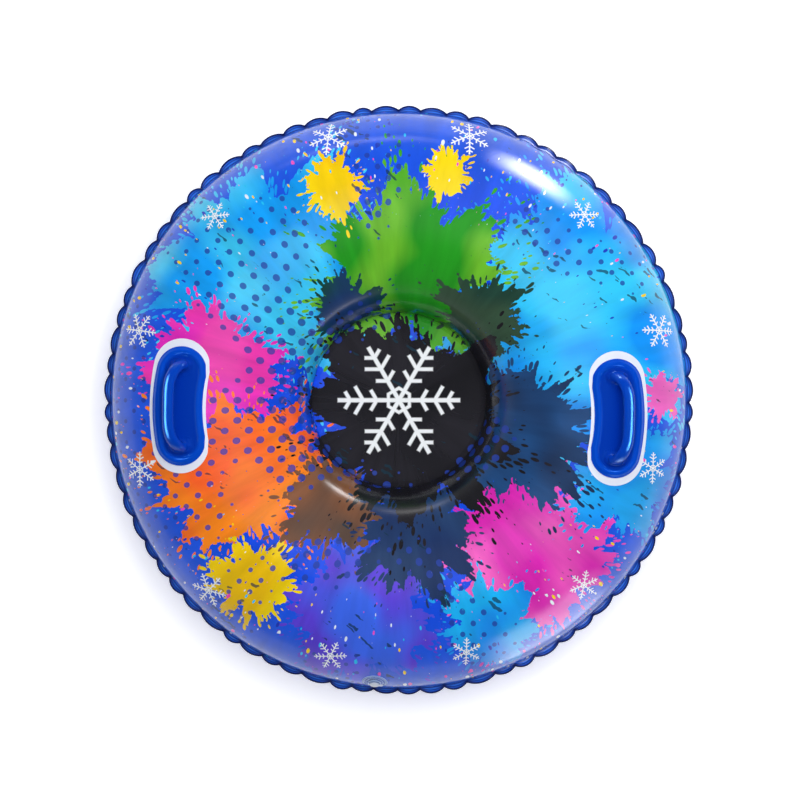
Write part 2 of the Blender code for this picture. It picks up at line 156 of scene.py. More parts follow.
print("a tube of 3 rings of 4 points has", len(grid_faces(3, 4)), "faces")

# %% [markdown]
# ## Pieces
# A finished mesh becomes a piece. Its object stays at the origin, because its place is in its mesh, and it
# rides on one body of the imported model and hides the plain solids that it stands for. What only the shape
# knows, such as how thick it is somewhere, is stored at its points for the material to read; the handles'
# material paints light and shade from that thickness.

# %% Add pieces
def store_shares(mesh, name, values):
    """Stores one value from 0 to 1 at each point, for a material to read."""
    attribute = mesh.attributes.new(name, "FLOAT", "POINT")
    attribute.data.foreach_set("value", np.clip(values, 0, 1).astype(np.float32).ravel())


def add_piece(name, mesh, material, body, slot, *nodes):
    """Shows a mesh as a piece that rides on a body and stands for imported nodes."""
    mesh.materials.append(material)
    piece = bpy.data.objects.new(name, mesh)
    bpy.context.scene.collection.objects.link(piece)
    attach(piece, body)
    if nodes:
        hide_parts(*nodes)
    print(f"{name}: {len(mesh.vertices)} points, {len(mesh.polygons)} faces")
    return piece


# %% [markdown]
# ## Nodes and colours
# A material is a tree of nodes. One small function adds a node of any kind, named as Blender names it but
# without the word ShaderNode: it sets the node's properties, fills or links its inputs and gives back one
# output. A second one wraps a finished tree into a material. Colours are written as sRGB hex values, as a
# paint chart gives them, and turned to the linear values that the renderer works in.

# %% Helpers for materials
def rgb(code):
    """Linear colour of an sRGB hex value: each channel c becomes ((c + 0.055) / 1.055) to the power 2.4."""
    channels = [int(code[i : i + 2], 16) / 255 for i in (1, 3, 5)]
    linear = [c / 12.92 if c <= 0.04045 else ((c + 0.055) / 1.055) ** 2.4 for c in channels]
    return (*linear, 1)


def add(tree, kind, inputs=(), output=0, **settings):
    """Adds a node: inputs are values or sockets, in order or by name, and settings are its properties."""
    node = tree.nodes.new("ShaderNode" + kind)
    for name, value in settings.items():
        setattr(node, name, value)
    for key, value in inputs.items() if isinstance(inputs, dict) else enumerate(inputs):
        if isinstance(value, bpy.types.NodeSocket):
            tree.links.new(value, node.inputs[key])
        else:
            node.inputs[key].default_value = value
    return node.outputs[output] if len(node.outputs) else node


def make_material(name, build, *details):
    """A material whose surface comes from a function of the tree and the piece's own coordinates."""
    material = bpy.data.materials.new(name)
    material.use_nodes = True
    tree = material.node_tree
    tree.nodes.clear()
    place = add(tree, "TexCoord", output="Object")
    add(tree, "OutputMaterial", {"Surface": build(tree, place, *details)})
    print(f"{name}: {len(tree.nodes)} nodes")
    return material


print("half-bright grey #808080 is", round(rgb("#808080")[0], 3), "of white in linear light")

# %% [markdown]
# ## Paint splashes
# The top of such a tube is printed before it is welded, while the film is flat. The print here is a common
# one: splashes of bright paint on blue. They could be painted as an image, but a formula stays sharp from
# close by. One splash is a disc whose edge is pushed in and out by noise. A noise that depends only on the
# direction from the middle makes rays. One that depends on the place makes the ragged edge.

# %% Shape a splash's body
RAYS_ROUND = 2.6
RAY_LEVELS = (0.34, 0.70)
RAY_SHARE = 0.46
ROOT_SHARE = 0.60
NOISE_ROUGHNESS = 0.62
EDGE_SOFTNESS = 0.5 * MM


def splash_share(tree, offset, seed):
    """Share of the reach = 0.60 + 0.46 * rays, where rays is a noise at 2.6 * direction + seed."""
    facing = add(tree, "VectorMath", (offset,), operation="NORMALIZE")
    start = add(tree, "CombineXYZ", (seed, seed))
    place = add(tree, "VectorMath", (facing, (RAYS_ROUND,) * 3, start), operation="MULTIPLY_ADD")
    rays = {"Vector": place, "Scale": 1, "Detail": 2, "Roughness": NOISE_ROUGHNESS}
    rays = add(tree, "TexNoise", rays, noise_dimensions="2D")
    rays = add(tree, "MapRange", (rays, *RAY_LEVELS))
    return add(tree, "Math", (rays, RAY_SHARE, ROOT_SHARE), operation="MULTIPLY_ADD")


def splash_body(tree, share, reach, rag, away):
    """Body = (share * reach + rag - distance) / softness: over 1 inside, under 0 outside."""
    edge = add(tree, "Math", (share, reach, rag), operation="MULTIPLY_ADD")
    inside = add(tree, "Math", (edge, away), operation="SUBTRACT")
    return add(tree, "Math", (inside, EDGE_SOFTNESS), operation="DIVIDE")


print("a splash's edge lies from", ROOT_SHARE, "to", RAY_SHARE + ROOT_SHARE, "of its reach")

# %% [markdown]
# ## Scattered spots
# Every sprinkle of the print is made of spots. Points are scattered, one to each square of a lattice, and
# a spot is all that lies nearer to its point than the spot's size. Each point also has chances of its own,
# from 0 to 1, which can pick its size and its ink.

# %% Scatter spots
def scatter(tree, place, randomness=1):
    """Distance to the nearest of many scattered points, one to a unit square, and that point's chance."""
    near = {"Vector": place, "Scale": 1, "Randomness": randomness}
    near = add(tree, "TexVoronoi", near, voronoi_dimensions="2D")
    return near, add(tree, "SeparateColor", (near.node.outputs["Color"],))


def spots(tree, size, near, width):
    """Spots = (size - distance to the point) * width / softness: over 1 inside, under 0 outside."""
    inside = add(tree, "Math", (size, near), operation="SUBTRACT")
    return add(tree, "Math", (inside, width / EDGE_SOFTNESS), operation="MULTIPLY")


print("a spot's edge fades over", round(EDGE_SOFTNESS / MM, 1), "mm")

# %% [markdown]
# ## Fingers and drops
# Paint that hits a wall throws out fingers, and their tips fly off as drops. Both are spots on a lattice
# that is drawn out along the rays. Near the splash the spots are big enough to join it, and further out
# they shrink.

# %% Fling the drops
DROP_WIDTH = 10 * MM
DROP_LENGTH = 25 * MM
DROP_CHANCES = (0.3, 0.9)
DROP_FLIGHT_SHARES = (0.86, 1.62)
DROP_SIZE_SHARE = 0.66


def direction_of(tree, offset):
    """Angle of a place round the middle: arctangent of y over x."""
    x = add(tree, "SeparateXYZ", (offset,))
    return add(tree, "Math", (x.node.outputs["Y"], x), operation="ARCTAN2")


def splash_drops(tree, offset, away, reach, share, seed):
    """Spots at (angle * reach / width, distance / length + seed), shrinking with the distance flown."""
    rows = add(tree, "Math", (reach, DROP_WIDTH), operation="DIVIDE")
    across = add(tree, "Math", (direction_of(tree, offset), rows), operation="MULTIPLY")
    outward = add(tree, "Math", (away, 1 / DROP_LENGTH, seed), operation="MULTIPLY_ADD")
    near, luck = scatter(tree, add(tree, "CombineXYZ", (across, outward)), 0.9)
    edge = add(tree, "Math", (share, reach), operation="MULTIPLY")
    flown = add(tree, "Math", (away, edge), operation="DIVIDE")
    size = add(tree, "MapRange", (flown, *DROP_FLIGHT_SHARES, DROP_SIZE_SHARE, 0))
    luck = add(tree, "MapRange", (luck, *DROP_CHANCES))
    size = add(tree, "Math", (size, luck), operation="MULTIPLY")
    return spots(tree, size, near, DROP_WIDTH)


print("drops fly as far as", DROP_FLIGHT_SHARES[1], "times a splash's edge")

# %% [markdown]
# ## The splash as a group
# A node group is a tree with inputs of its own. So the splash is built once, and each ink uses it with its
# own middle, reach and seed.

# %% Make the splash group
def splash_mask(tree, given):
    """Mask = the larger of the body and the drops, kept from 0 to 1."""
    offset = add(tree, "VectorMath", (given["At"], given["Middle"]), operation="SUBTRACT")
    away = add(tree, "VectorMath", (offset,), output="Value", operation="LENGTH")
    share = splash_share(tree, offset, given["Seed"])
    body = splash_body(tree, share, given["Reach"], given["Rag"], away)
    drops = splash_drops(tree, offset, away, given["Reach"], share, given["Seed"])
    return add(tree, "Clamp", (add(tree, "Math", (body, drops), operation="MAXIMUM"),))


def make_group(name, sockets, build):
    """A node group with the given input sockets and one output, the mask that the function gives."""
    group = bpy.data.node_groups.new(name, "ShaderNodeTree")
    for socket_name, kind in sockets.items():
        group.interface.new_socket(socket_name, in_out="INPUT", socket_type=f"NodeSocket{kind}")
    group.interface.new_socket("Mask", in_out="OUTPUT", socket_type="NodeSocketFloat")
    mask = build(group, group.nodes.new("NodeGroupInput").outputs)
    group.links.new(mask, group.nodes.new("NodeGroupOutput").inputs["Mask"])
    print(f"{name}: {len(group.nodes)} nodes")
    return group


SPLASH_SOCKETS = {"At": "Vector", "Middle": "Vector", "Reach": "Float", "Seed": "Float", "Rag": "Float"}
splash = make_group("paint splash", SPLASH_SOCKETS, splash_mask)

# %% [markdown]
# ## Snowflakes
# A snowflake has six like arms, so one arm is drawn and the plane is folded onto it: the angle round the
# middle is wrapped into a sixth of a turn and mirrored. In that wedge the arm is a strip along the middle
# line, and each twig is a strip that leaves it at 60 degrees. All sizes are shares of the arm's length. It
# could be a thin mesh on the film, but as ink it bends with the film and casts no shadow.

# %% Draw an arm and its twigs
ARM_COUNT = 6
ARM_SHARE = 0.042
HUB_SHARE = 0.17
HUB_LINE_SHARE = 0.8 * ARM_SHARE
TWIG_LINE_SHARE = 0.9 * ARM_SHARE
TWIG_SHARES = ((0.36, 0.20), (0.58, 0.27), (0.79, 0.17))
TWIG_LEAN = math.radians(60)
FLAKE_SHARPNESS = 60


def fold_wedge(tree, at):
    """Distances along an arm and aside from it, after the angle is wrapped and mirrored."""
    away = add(tree, "VectorMath", (at,), output="Value", operation="LENGTH")
    half = math.pi / ARM_COUNT
    wrapped = add(tree, "Math", (direction_of(tree, at), half, -half), operation="WRAP")
    angle = add(tree, "Math", (wrapped,), operation="ABSOLUTE")
    along = add(tree, "Math", (angle,), operation="COSINE")
    aside = add(tree, "Math", (angle,), operation="SINE")
    return [add(tree, "Math", (away, side), operation="MULTIPLY") for side in (along, aside)]


def twig(tree, along, aside, root, length):
    """A strip from a root on the arm: the place is turned by 60 degrees, and both its sides are limits."""
    from_root = add(tree, "Math", (along, root), operation="SUBTRACT")
    across = add(tree, "Math", (from_root, math.sin(TWIG_LEAN)), operation="MULTIPLY")
    across = add(tree, "Math", (aside, -math.cos(TWIG_LEAN), across), operation="MULTIPLY_ADD")
    across = add(tree, "Math", (across,), operation="ABSOLUTE")
    up = add(tree, "Math", (from_root, math.cos(TWIG_LEAN)), operation="MULTIPLY")
    up = add(tree, "Math", (aside, math.sin(TWIG_LEAN), up), operation="MULTIPLY_ADD")
    to_tip = add(tree, "Math", (length, up), operation="SUBTRACT")
    inside = add(tree, "Math", (up, to_tip), operation="MINIMUM")
    strip = add(tree, "Math", (TWIG_LINE_SHARE, across), operation="SUBTRACT")
    return add(tree, "Math", (strip, inside), operation="MINIMUM")


print("twigs leave an arm at", ", ".join(str(root) for root, length in TWIG_SHARES), "of its length")

# %% [markdown]
# Inside a stroke its value is over 0, and outside it is under 0. So the whole flake is the largest of its
# strokes' values, and it gets its edge where that value passes 0.

# %% Make the snowflake group
def flake_mask(tree, given):
    """Each stroke is half its width less the distance to its line; the flake is the largest of them."""
    along, aside = fold_wedge(tree, given["At"])
    arm = add(tree, "Math", (ARM_SHARE, aside), operation="SUBTRACT")
    to_tip = add(tree, "Math", (1, along), operation="SUBTRACT")
    shape = add(tree, "Math", (arm, to_tip), operation="MINIMUM")
    from_hub = add(tree, "Math", (along, HUB_SHARE), operation="SUBTRACT")
    from_hub = add(tree, "Math", (from_hub,), operation="ABSOLUTE")
    hub = add(tree, "Math", (HUB_LINE_SHARE, from_hub), operation="SUBTRACT")
    shape = add(tree, "Math", (shape, hub), operation="MAXIMUM")
    for root, length in TWIG_SHARES:
        shape = add(tree, "Math", (shape, twig(tree, along, aside, root, length)), operation="MAXIMUM")
    sharp = add(tree, "Math", (shape, FLAKE_SHARPNESS), operation="MULTIPLY")
    return add(tree, "Clamp", (sharp,))


flake = make_group("snowflake", {"At": "Vector"}, flake_mask)

# %% [markdown]
# ## The inks
# The inks are laid over each other as a printer would: a blue ground that turns lighter towards the edge,
# then the splashes from the widest to the darkest, a screen of dots, specks, and white snowflakes on top.
# All of it reads the flat sheet's own map, so it bends with the film exactly as a real print does.

# %% Lay out the inks
# Azimuth in degrees, distance from the middle on the flat sheet, reach, and the ink's two shades
INKS = (
    (136, 0.345, 0.258, "#0C9CF4", "#3CCBFB"),
    (25, 0.385, 0.290, "#0A94F8", "#30C8FD"),
    (260, 0.420, 0.160, "#5A40DA", "#3C68F0"),
    (312, 0.385, 0.200, "#DE26B6", "#F45CC4"),
    (170, 0.375, 0.125, "#F23AB2", "#E428C4"),
    (292, 0.470, 0.100, "#1490F4", "#18B4FA"),
    (340, 0.470, 0.115, "#1084F2", "#20AAF8"),
    (88, 0.250, 0.205, "#229A1E", "#6CBC2C"),
    (205, 0.345, 0.180, "#FF8A1C", "#FF6428"),
    (107, 0.435, 0.064, "#FBDC08", "#F8C600"),
    (78, 0.450, 0.050, "#FBDC08", "#F8C600"),
    (1, 0.515, 0.050, "#F040BC", "#F46AC8"),
    (231, 0.450, 0.086, "#F8DA0A", "#F4C40A"),
    (238, 0.250, 0.115, "#86563A", "#5A463C"),
    (277, 0.270, 0.130, "#24406C", "#1C3464"),
    (45, 0.240, 0.100, "#34503C", "#204438"),
    (345, 0.255, 0.160, "#1E4A80", "#1A3258"),
    (120, 0.215, 0.085, "#14386C", "#124436"),
    (320, 0.063, 0.214, "#18181E", "#24232B"),
)
print(len(INKS), "splashes from", min(ink[2] for ink in INKS), "to", max(ink[2] for ink in INKS), "m")

# %% [markdown]
# ## Paint on paint
# Each splash covers the colours before it. Its ink drifts between two shades, because real paint is never
# laid on evenly, and one noise roughens the edges of all of them.

# %% Lay paint on paint
RAG_SIZE = 16 * MM
RAG_DEPTH = 46 * MM
SHADE_SIZE = 143 * MM
SHADE_LEVELS = (0.38, 0.62)


def ink_over(tree, under, ink, mask):
    """Covers a colour with an ink where the mask is 1. Each of them is a hex value or a socket."""
    under, ink = [rgb(shade) if isinstance(shade, str) else shade for shade in (under, ink)]
    return add(tree, "Mix", {0: mask, 6: under, 7: ink}, output=2, data_type="RGBA")


def polar_place(azimuth, distance):
    """Place on the flat sheet from an azimuth in degrees and a distance from the middle."""
    turn = math.radians(azimuth)
    return (distance * math.cos(turn), distance * math.sin(turn), 0)


def print_splashes(tree, at, colour):
    """Each ink in turn over the colours before it, its edge pushed by depth * (rag noise - 1/2)."""
    rag = {"Vector": at, "Scale": 1 / RAG_SIZE, "Detail": 2.5, "Roughness": NOISE_ROUGHNESS}
    rag = add(tree, "TexNoise", rag, noise_dimensions="2D")
    rag = add(tree, "Math", (rag, RAG_DEPTH, -RAG_DEPTH / 2), operation="MULTIPLY_ADD")
    shade = {"Vector": at, "Scale": 1 / SHADE_SIZE, "Detail": 1}
    shade = add(tree, "TexNoise", shade, noise_dimensions="2D")
    shade = add(tree, "MapRange", (shade, *SHADE_LEVELS))
    for number, (azimuth, distance, reach, first, second) in enumerate(INKS):
        ink = ink_over(tree, first, second, shade)
        place = {"At": at, "Middle": polar_place(azimuth, distance)}
        form = {"Reach": reach, "Seed": 3.7 * number + 1.3, "Rag": rag}
        colour = ink_over(tree, colour, ink, add(tree, "Group", {**place, **form}, node_tree=splash))
    return colour


print("edges ragged by up to", round(RAG_DEPTH / 2 / MM), "mm either way")

# %% [markdown]
# ## Brush strokes
# At the end the whole print is brushed: it gets lighter and darker in long strokes that run outwards. They
# come from a noise that changes fast round the middle and slowly away from it.

# %% Brush the print
STROKES_ROUND = 11
STROKE_LENGTH = 160 * MM
STROKE_LEVELS = (0.3, 0.7)
STROKE_VALUES = (0.84, 1.14)


def brush(tree, at, away, colour):
    """Strokes that run outwards: a noise at (11 * direction, distance / 160 mm) sets the ink's value."""
    facing = add(tree, "VectorMath", (at,), operation="NORMALIZE")
    outward = add(tree, "Math", (away, STROKE_LENGTH), operation="DIVIDE")
    along = add(tree, "CombineXYZ", {"Z": outward})
    place = (facing, (STROKES_ROUND, STROKES_ROUND, 0), along)
    place = add(tree, "VectorMath", place, operation="MULTIPLY_ADD")
    strokes = add(tree, "TexNoise", {"Vector": place, "Scale": 1, "Detail": 4})
    value = add(tree, "MapRange", (strokes, *STROKE_LEVELS, *STROKE_VALUES))
    return add(tree, "HueSaturation", {"Value": value, "Color": colour})


print("strokes about", round(TUBE_RADIUS / STROKES_ROUND / MM), "mm wide at the rim")

# %% [markdown]
# ## A screen of dots
# A screen of dots is the oldest way to print a fading tone: every dot stands on the same lattice, and only
# its size changes. Here the size falls off from the middle, and a slow noise decides where the tone is.

# %% Print the dots
DOT_PITCH = 29 * MM
DOT_RADIUS = 9.5 * MM
OUTER_DOT_RADIUS = 4.5 * MM
DOT_FADE = (0.15, 0.52)
DOT_TURN = math.radians(45)
DOT_OPACITY = 0.85
TONE_SIZE = 182 * MM
TONE_LEVELS = (0.50, 0.62)
TONE_TO_LEFT = 0.42
SEAT_FADE = (0.105, 0.16)


def print_dots(tree, at, away, colour):
    """Dot radius = (large in the middle, small outside) * tone, a slow noise that is high at the left."""
    turned = add(tree, "VectorRotate", {0: at, "Angle": DOT_TURN}, rotation_type="Z_AXIS")
    lattice = {"Vector": turned, "Scale": 1 / DOT_PITCH, "Randomness": 0}
    lattice = add(tree, "TexVoronoi", lattice, voronoi_dimensions="2D")
    tone = {"Vector": at, "Scale": 1 / TONE_SIZE, "Detail": 0}
    tone = add(tree, "TexNoise", tone, noise_dimensions="2D")
    side = add(tree, "SeparateXYZ", (at,))
    tone = add(tree, "Math", (side, -TONE_TO_LEFT, tone), operation="MULTIPLY_ADD")
    tone = add(tree, "MapRange", (tone, *TONE_LEVELS))
    off_seat = add(tree, "MapRange", (away, *SEAT_FADE))
    tone = add(tree, "Math", (tone, off_seat), operation="MULTIPLY")
    size = (away, *DOT_FADE, DOT_RADIUS / DOT_PITCH, OUTER_DOT_RADIUS / DOT_PITCH)
    radius = add(tree, "Math", (add(tree, "MapRange", size), tone), operation="MULTIPLY")
    mask = add(tree, "Clamp", (spots(tree, radius, lattice, DOT_PITCH), 0, DOT_OPACITY))
    return ink_over(tree, colour, "#1F3FA4", mask)


print("dots every", round(DOT_PITCH / MM), "mm")

# %% [markdown]
# ## Flecks
# Flecks are short dark marks that all lie one way, as a nearly dry brush leaves them. They are spots on a
# scattered lattice that is turned and drawn out four to one. A fine noise bends them, and a slow one keeps
# them in patches.

# %% Print the flecks
FLECK_LENGTH = 40 * MM
FLECK_WIDTH = 11 * MM
FLECK_LEAN = math.radians(35)
FLECK_WANDER = 16.67 * MM
FLECK_CHANCES = (0.66, 1)
FLECK_SIZE_SHARE = 0.36
FLECK_OPACITY = 0.8
PATCH_WIDTH = 154 * MM
PATCH_LEVELS = (0.50, 0.64)


def print_flecks(tree, at, colour):
    """Spots at (turned place / (length, width)) + bending noise, as large as luck and the patch allow."""
    turned = add(tree, "VectorRotate", {0: at, "Angle": FLECK_LEAN}, rotation_type="Z_AXIS")
    drawn = (turned, (1 / FLECK_LENGTH, 1 / FLECK_WIDTH, 0))
    drawn = add(tree, "VectorMath", drawn, operation="MULTIPLY")
    wander = {"Vector": at, "Scale": 1 / FLECK_WANDER, "Detail": 1}
    wander = add(tree, "TexNoise", wander, output="Color", noise_dimensions="2D")
    near, luck = scatter(tree, add(tree, "VectorMath", (drawn, wander), operation="ADD"))
    patch = {"Vector": at, "Scale": 1 / PATCH_WIDTH, "Detail": 0}
    patch = add(tree, "TexNoise", patch, noise_dimensions="2D")
    patch = add(tree, "MapRange", (patch, *PATCH_LEVELS))
    size = add(tree, "MapRange", (luck, *FLECK_CHANCES, 0, FLECK_SIZE_SHARE))
    size = add(tree, "Math", (size, patch), operation="MULTIPLY")
    mask = add(tree, "Clamp", (spots(tree, size, near, FLECK_WIDTH), 0, FLECK_OPACITY))
    return ink_over(tree, colour, "#123446", mask)


print("flecks up to", round(2 * FLECK_SIZE_SHARE * FLECK_LENGTH / MM), "mm long")

# %% [markdown]
# ## Specks
# Specks are tiny drops of every ink, flung outwards. Their lattice runs round the ring and away from its
# middle, so all of them point outwards. Chance picks each one's size and, by steps, its ink.

# %% Print the specks
SPECK_LENGTH = 17 * MM
SPECK_WIDTH = 9 * MM
SPECK_CHANCES = (0.82, 1)
SPECK_SIZE_SHARE = 0.42
SPECK_FADE = (0.34, 0.50)
SPECK_INKS = ("#22C4FA", "#FBD60A", "#F44CC0", "#EAF4FF", "#1B3AC0")


def print_specks(tree, away, angle, colour):
    """Spots at (angle * ring / width, distance / length); chance picks the size and the ink."""
    across = add(tree, "Math", (angle, TUBE_RADIUS / SPECK_WIDTH), operation="MULTIPLY")
    along = add(tree, "Math", (away, SPECK_LENGTH), operation="DIVIDE")
    near, luck = scatter(tree, add(tree, "CombineXYZ", (across, along)))
    size = add(tree, "MapRange", (luck, *SPECK_CHANCES, 0, SPECK_SIZE_SHARE))
    outside = add(tree, "MapRange", (away, *SPECK_FADE))
    size = add(tree, "Math", (size, outside), operation="MULTIPLY")
    mask = add(tree, "Clamp", (spots(tree, size, near, SPECK_WIDTH),))
    ink = add(tree, "ValToRGB", (luck.node.outputs["Green"],))
    steps = ink.node.color_ramp
    steps.interpolation = "CONSTANT"
    for number, code in enumerate(SPECK_INKS):
        place = number / len(SPECK_INKS)
        stop = steps.elements[number] if number < 2 else steps.elements.new(place)
        stop.position = place
        stop.color = rgb(code)
    return ink_over(tree, colour, ink, mask)


print(len(SPECK_INKS), "inks for the specks")

# %% [markdown]
# ## White snowflakes
# Twelve flakes stand round the edge. The sheet is cut into twelve like sectors, and each sector has one
# flake whose turn, size and distance come from the sector's number by chance. A large one fills the seat.

# %% Print the snowflakes
FLAKE_COUNT = 12
FLAKE_RING = 0.520
FLAKE_SCATTER = 35 * MM
FLAKE_RADIUS = 38 * MM
FLAKE_SCALES = (1.3 / FLAKE_RADIUS, 0.85 / FLAKE_RADIUS)
FLAKE_SPIN = 40
SEAT_FLAKE_RADIUS = 105 * MM
FLAKE_WHITE = "#F4F8FC"


def in_sector(tree, away, angle):
    """Place in the sector = (distance * cos - ring, distance * sin), and the sector's chance."""
    sector = add(tree, "Math", (angle, FLAKE_COUNT / TURN), operation="MULTIPLY")
    number = add(tree, "Math", (sector,), operation="FLOOR")
    share = add(tree, "Math", (sector, number), operation="SUBTRACT")
    local = (share, TURN / FLAKE_COUNT, -math.pi / FLAKE_COUNT)
    local = add(tree, "Math", local, operation="MULTIPLY_ADD")
    luck = add(tree, "TexWhiteNoise", {"W": number}, noise_dimensions="1D")
    ring = (luck, FLAKE_SCATTER, FLAKE_RING - FLAKE_SCATTER / 2)
    ring = add(tree, "Math", ring, operation="MULTIPLY_ADD")
    outward = add(tree, "Math", (local,), operation="COSINE")
    outward = add(tree, "Math", (away, outward), operation="MULTIPLY")
    x = add(tree, "Math", (outward, ring), operation="SUBTRACT")
    aside = add(tree, "Math", (local,), operation="SINE")
    y = add(tree, "Math", (away, aside), operation="MULTIPLY")
    return add(tree, "CombineXYZ", (x, y)), luck


def print_flakes(tree, at, away, angle, colour):
    """A flake in each sector, turned and scaled by chance, and one on the seat."""
    place, luck = in_sector(tree, away, angle)
    spin = add(tree, "Math", (luck, FLAKE_SPIN), operation="MULTIPLY")
    turned = add(tree, "VectorRotate", {0: place, "Angle": spin}, rotation_type="Z_AXIS")
    chance_scale = add(tree, "MapRange", (luck, 0, 1, *FLAKE_SCALES))
    for where, scale in ((turned, chance_scale), (at, 1 / SEAT_FLAKE_RADIUS)):
        place = add(tree, "VectorMath", {0: where, "Scale": scale}, operation="SCALE")
        colour = ink_over(tree, colour, FLAKE_WHITE, add(tree, "Group", {"At": place}, node_tree=flake))
    return colour


print(FLAKE_COUNT, "flakes round the edge")

# %% [markdown]
# ## Printed PVC film
# Soft PVC film comes off polished rollers, so it is glossy: roughness about 0.15 and an IOR of 1.53. Under
# pressure the film is never quite even, which shows as a slow wander in its reflections. That wander is a
# noise some centimetres wide, a fraction of a millimetre deep. The print is read from the flat sheet's map.

# %% Make the printed film
FILM_IOR = 1.53
GROUND_FADE = (0.40, 0.60)


def uneven(tree, place, width, depth, detail=2):
    """Bump = depth * noise, whose waves are as wide as the given width. Both are in metres."""
    wave = add(tree, "TexNoise", {"Vector": place, "Scale": 1 / width, "Detail": detail})
    return add(tree, "Bump", {"Height": wave, "Distance": depth, "Strength": 1})


def printed_film(tree, place):
    """Printed soft PVC film, calendered: a saturated print under a glossy skin."""
    at = add(tree, "UVMap", uv_map="flat sheet")
    away = add(tree, "VectorMath", (at,), output="Value", operation="LENGTH")
    angle = direction_of(tree, at)
    outwards = add(tree, "MapRange", (away, *GROUND_FADE))
    colour = ink_over(tree, "#0A4CEA", "#2864E2", outwards)
    colour = print_splashes(tree, at, colour)
    colour = brush(tree, at, away, colour)
    colour = print_flecks(tree, at, colour)
    colour = print_dots(tree, at, away, colour)
    colour = print_specks(tree, away, angle, colour)
    colour = print_flakes(tree, at, away, angle, colour)
    shader = {
        "Base Color": colour,
        "Roughness": 0.17,
        "IOR": FILM_IOR,
        "Normal": uneven(tree, place, 60 * MM, 0.35 * MM),
    }
    return add(tree, "BsdfPrincipled", shader)


PRINTED = make_material("printed PVC film", printed_film)

# %% [markdown]
# ## Plain film and welded edge
# The underside is the same film without a print. It slides on the snow, so faint scuffs break its gloss.
# Along the rim a hot bar presses both films into one. The blue is darker on the pressed lines, partly as
# pressed film and partly as painted shade, and darker in the creases, at the root and at the cut edge as
# painted shade. The full lobes get a painted highlight of lighter blue. The mesh carries both as
# attributes, because only the shape knows them.

# %% Make the plain and the welded film
def plain_film(tree, place):
    """Plain blue PVC film: two close blues that drift into each other, and faint scuffs in the gloss."""
    drift = add(tree, "TexNoise", {"Vector": place, "Scale": 1 / (91 * MM), "Detail": 3})
    scuff = add(tree, "TexNoise", {"Vector": place, "Scale": 1 / (16.7 * MM), "Detail": 2})
    shader = {
        "Base Color": ink_over(tree, "#0640C6", "#0C54DA", drift),
        "Roughness": add(tree, "MapRange", (scuff, 0.3, 0.7, 0.17, 0.24)),
        "IOR": FILM_IOR,
        "Normal": uneven(tree, place, 45 * MM, 0.3 * MM),
    }
    return add(tree, "BsdfPrincipled", shader)


def welded_film(tree, place):
    """Welded PVC film: deep blue, darker on pressed lines with painted shade, a painted highlight on lobes."""
    pressed_and_shaded = add(tree, "Attribute", output="Fac", attribute_name="pressed_and_shaded")
    lobe_highlight = add(tree, "Attribute", output="Fac", attribute_name="lobe_highlight")
    drift = add(tree, "TexNoise", {"Vector": place, "Scale": 1 / (29.4 * MM), "Detail": 3})
    blue = ink_over(tree, "#063AB4", "#0E56D4", drift)
    # Painted highlight: a lighter blue on the full lobes, where the lamps would catch them
    blue = ink_over(tree, blue, "#3A86FA", lobe_highlight)
    shader = {
        # Painted shade, partly pressed film: near-black blue on the pressed lines, creases, root and cut edge
        "Base Color": ink_over(tree, blue, "#04124A", pressed_and_shaded),
        "Roughness": 0.2,
        "IOR": FILM_IOR,
        "Normal": uneven(tree, place, 12 * MM, 0.12 * MM),
    }
    return add(tree, "BsdfPrincipled", shader)


UNDERSIDE = make_material("plain blue PVC film", plain_film)
WELDED_EDGE = make_material("welded PVC edge", welded_film)

# %% [markdown]
# ## The puckered edge
# A flat disc has more edge than an inflated ring needs, so the welded edge gathers into small puffed
# lobes with a sharp crease between them. Each lobe is half a sine wave raised to a power below one, which
# keeps its top full and its creases tight. No two lobes are quite alike: each crease is a little off its
# place, and each lobe swells by its own amount.

# %% Work out the lobes
LOBES = 76
LOBE_POWER = 0.75
CREASE_SHIFT = 0.14
LEAST_SWELL = 0.72
chance = np.random.default_rng(11)
crease_shift = chance.uniform(-CREASE_SHIFT, CREASE_SHIFT, LOBES)
lobe_swell = chance.uniform(LEAST_SWELL, 1.0, LOBES)
lobe_tilt = chance.uniform(-1, 1, LOBES)


def lobes_at(azimuth):
    """Number of the lobe at an azimuth and the share of the way across it, between its two creases."""
    numbers = np.arange(-1, LOBES + 2)
    creases = (numbers + crease_shift[numbers % LOBES]) * TURN / LOBES
    place = np.interp(np.mod(azimuth, TURN), creases, numbers)
    lobe = np.floor(place)
    return lobe.astype(int) % LOBES, place - lobe


def lobe_bulge(azimuth):
    """How far the lobe stands out, 0 in a crease and up to 1: swell * sin(pi * share) ** power."""
    lobe, share = lobes_at(azimuth)
    return lobe_swell[lobe] * np.sin(math.pi * share) ** LOBE_POWER


lobe_pitch = TURN * TUBE_RADIUS / LOBES / MM
print(f"lobes {lobe_pitch:.0f} mm wide, give or take {2 * CREASE_SHIFT * lobe_pitch:.0f} mm")

# %% [markdown]
# ## Film under pressure
# Each sheet is the ring's section carried round, lifted a little off the plain ellipse. The lift is the sum
# of the puckers, which die out over a couple of centimetres, the weld's line, fine tension lines above the
# seat, and a slow unevenness of under a millimetre. A sculpted or simulated film would be as uneven, but a
# sum of waves can be read and changed.

# %% Work out the film's lift
PUCKER = 2.6 * MM
PUCKER_REACH = 15 * MM
WELD_LINE = 8.5 * MM
WELD_HEIGHT = 0.35 * MM
WELD_WIDTH = 0.7 * MM
TENSION = 0.35 * MM
TENSION_LINES = 57
TENSION_REACH = 26 * MM
SLOW_DEPTH = 0.3 * MM
SLOW_ENDS = 60 * MM
# Waves round the ring, their lean in radians for each metre of arc, and their share of the depth
SLOW_WAVES = ((5, 9, 1.0), (9, -14, 0.7), (14, 0, 0.5))


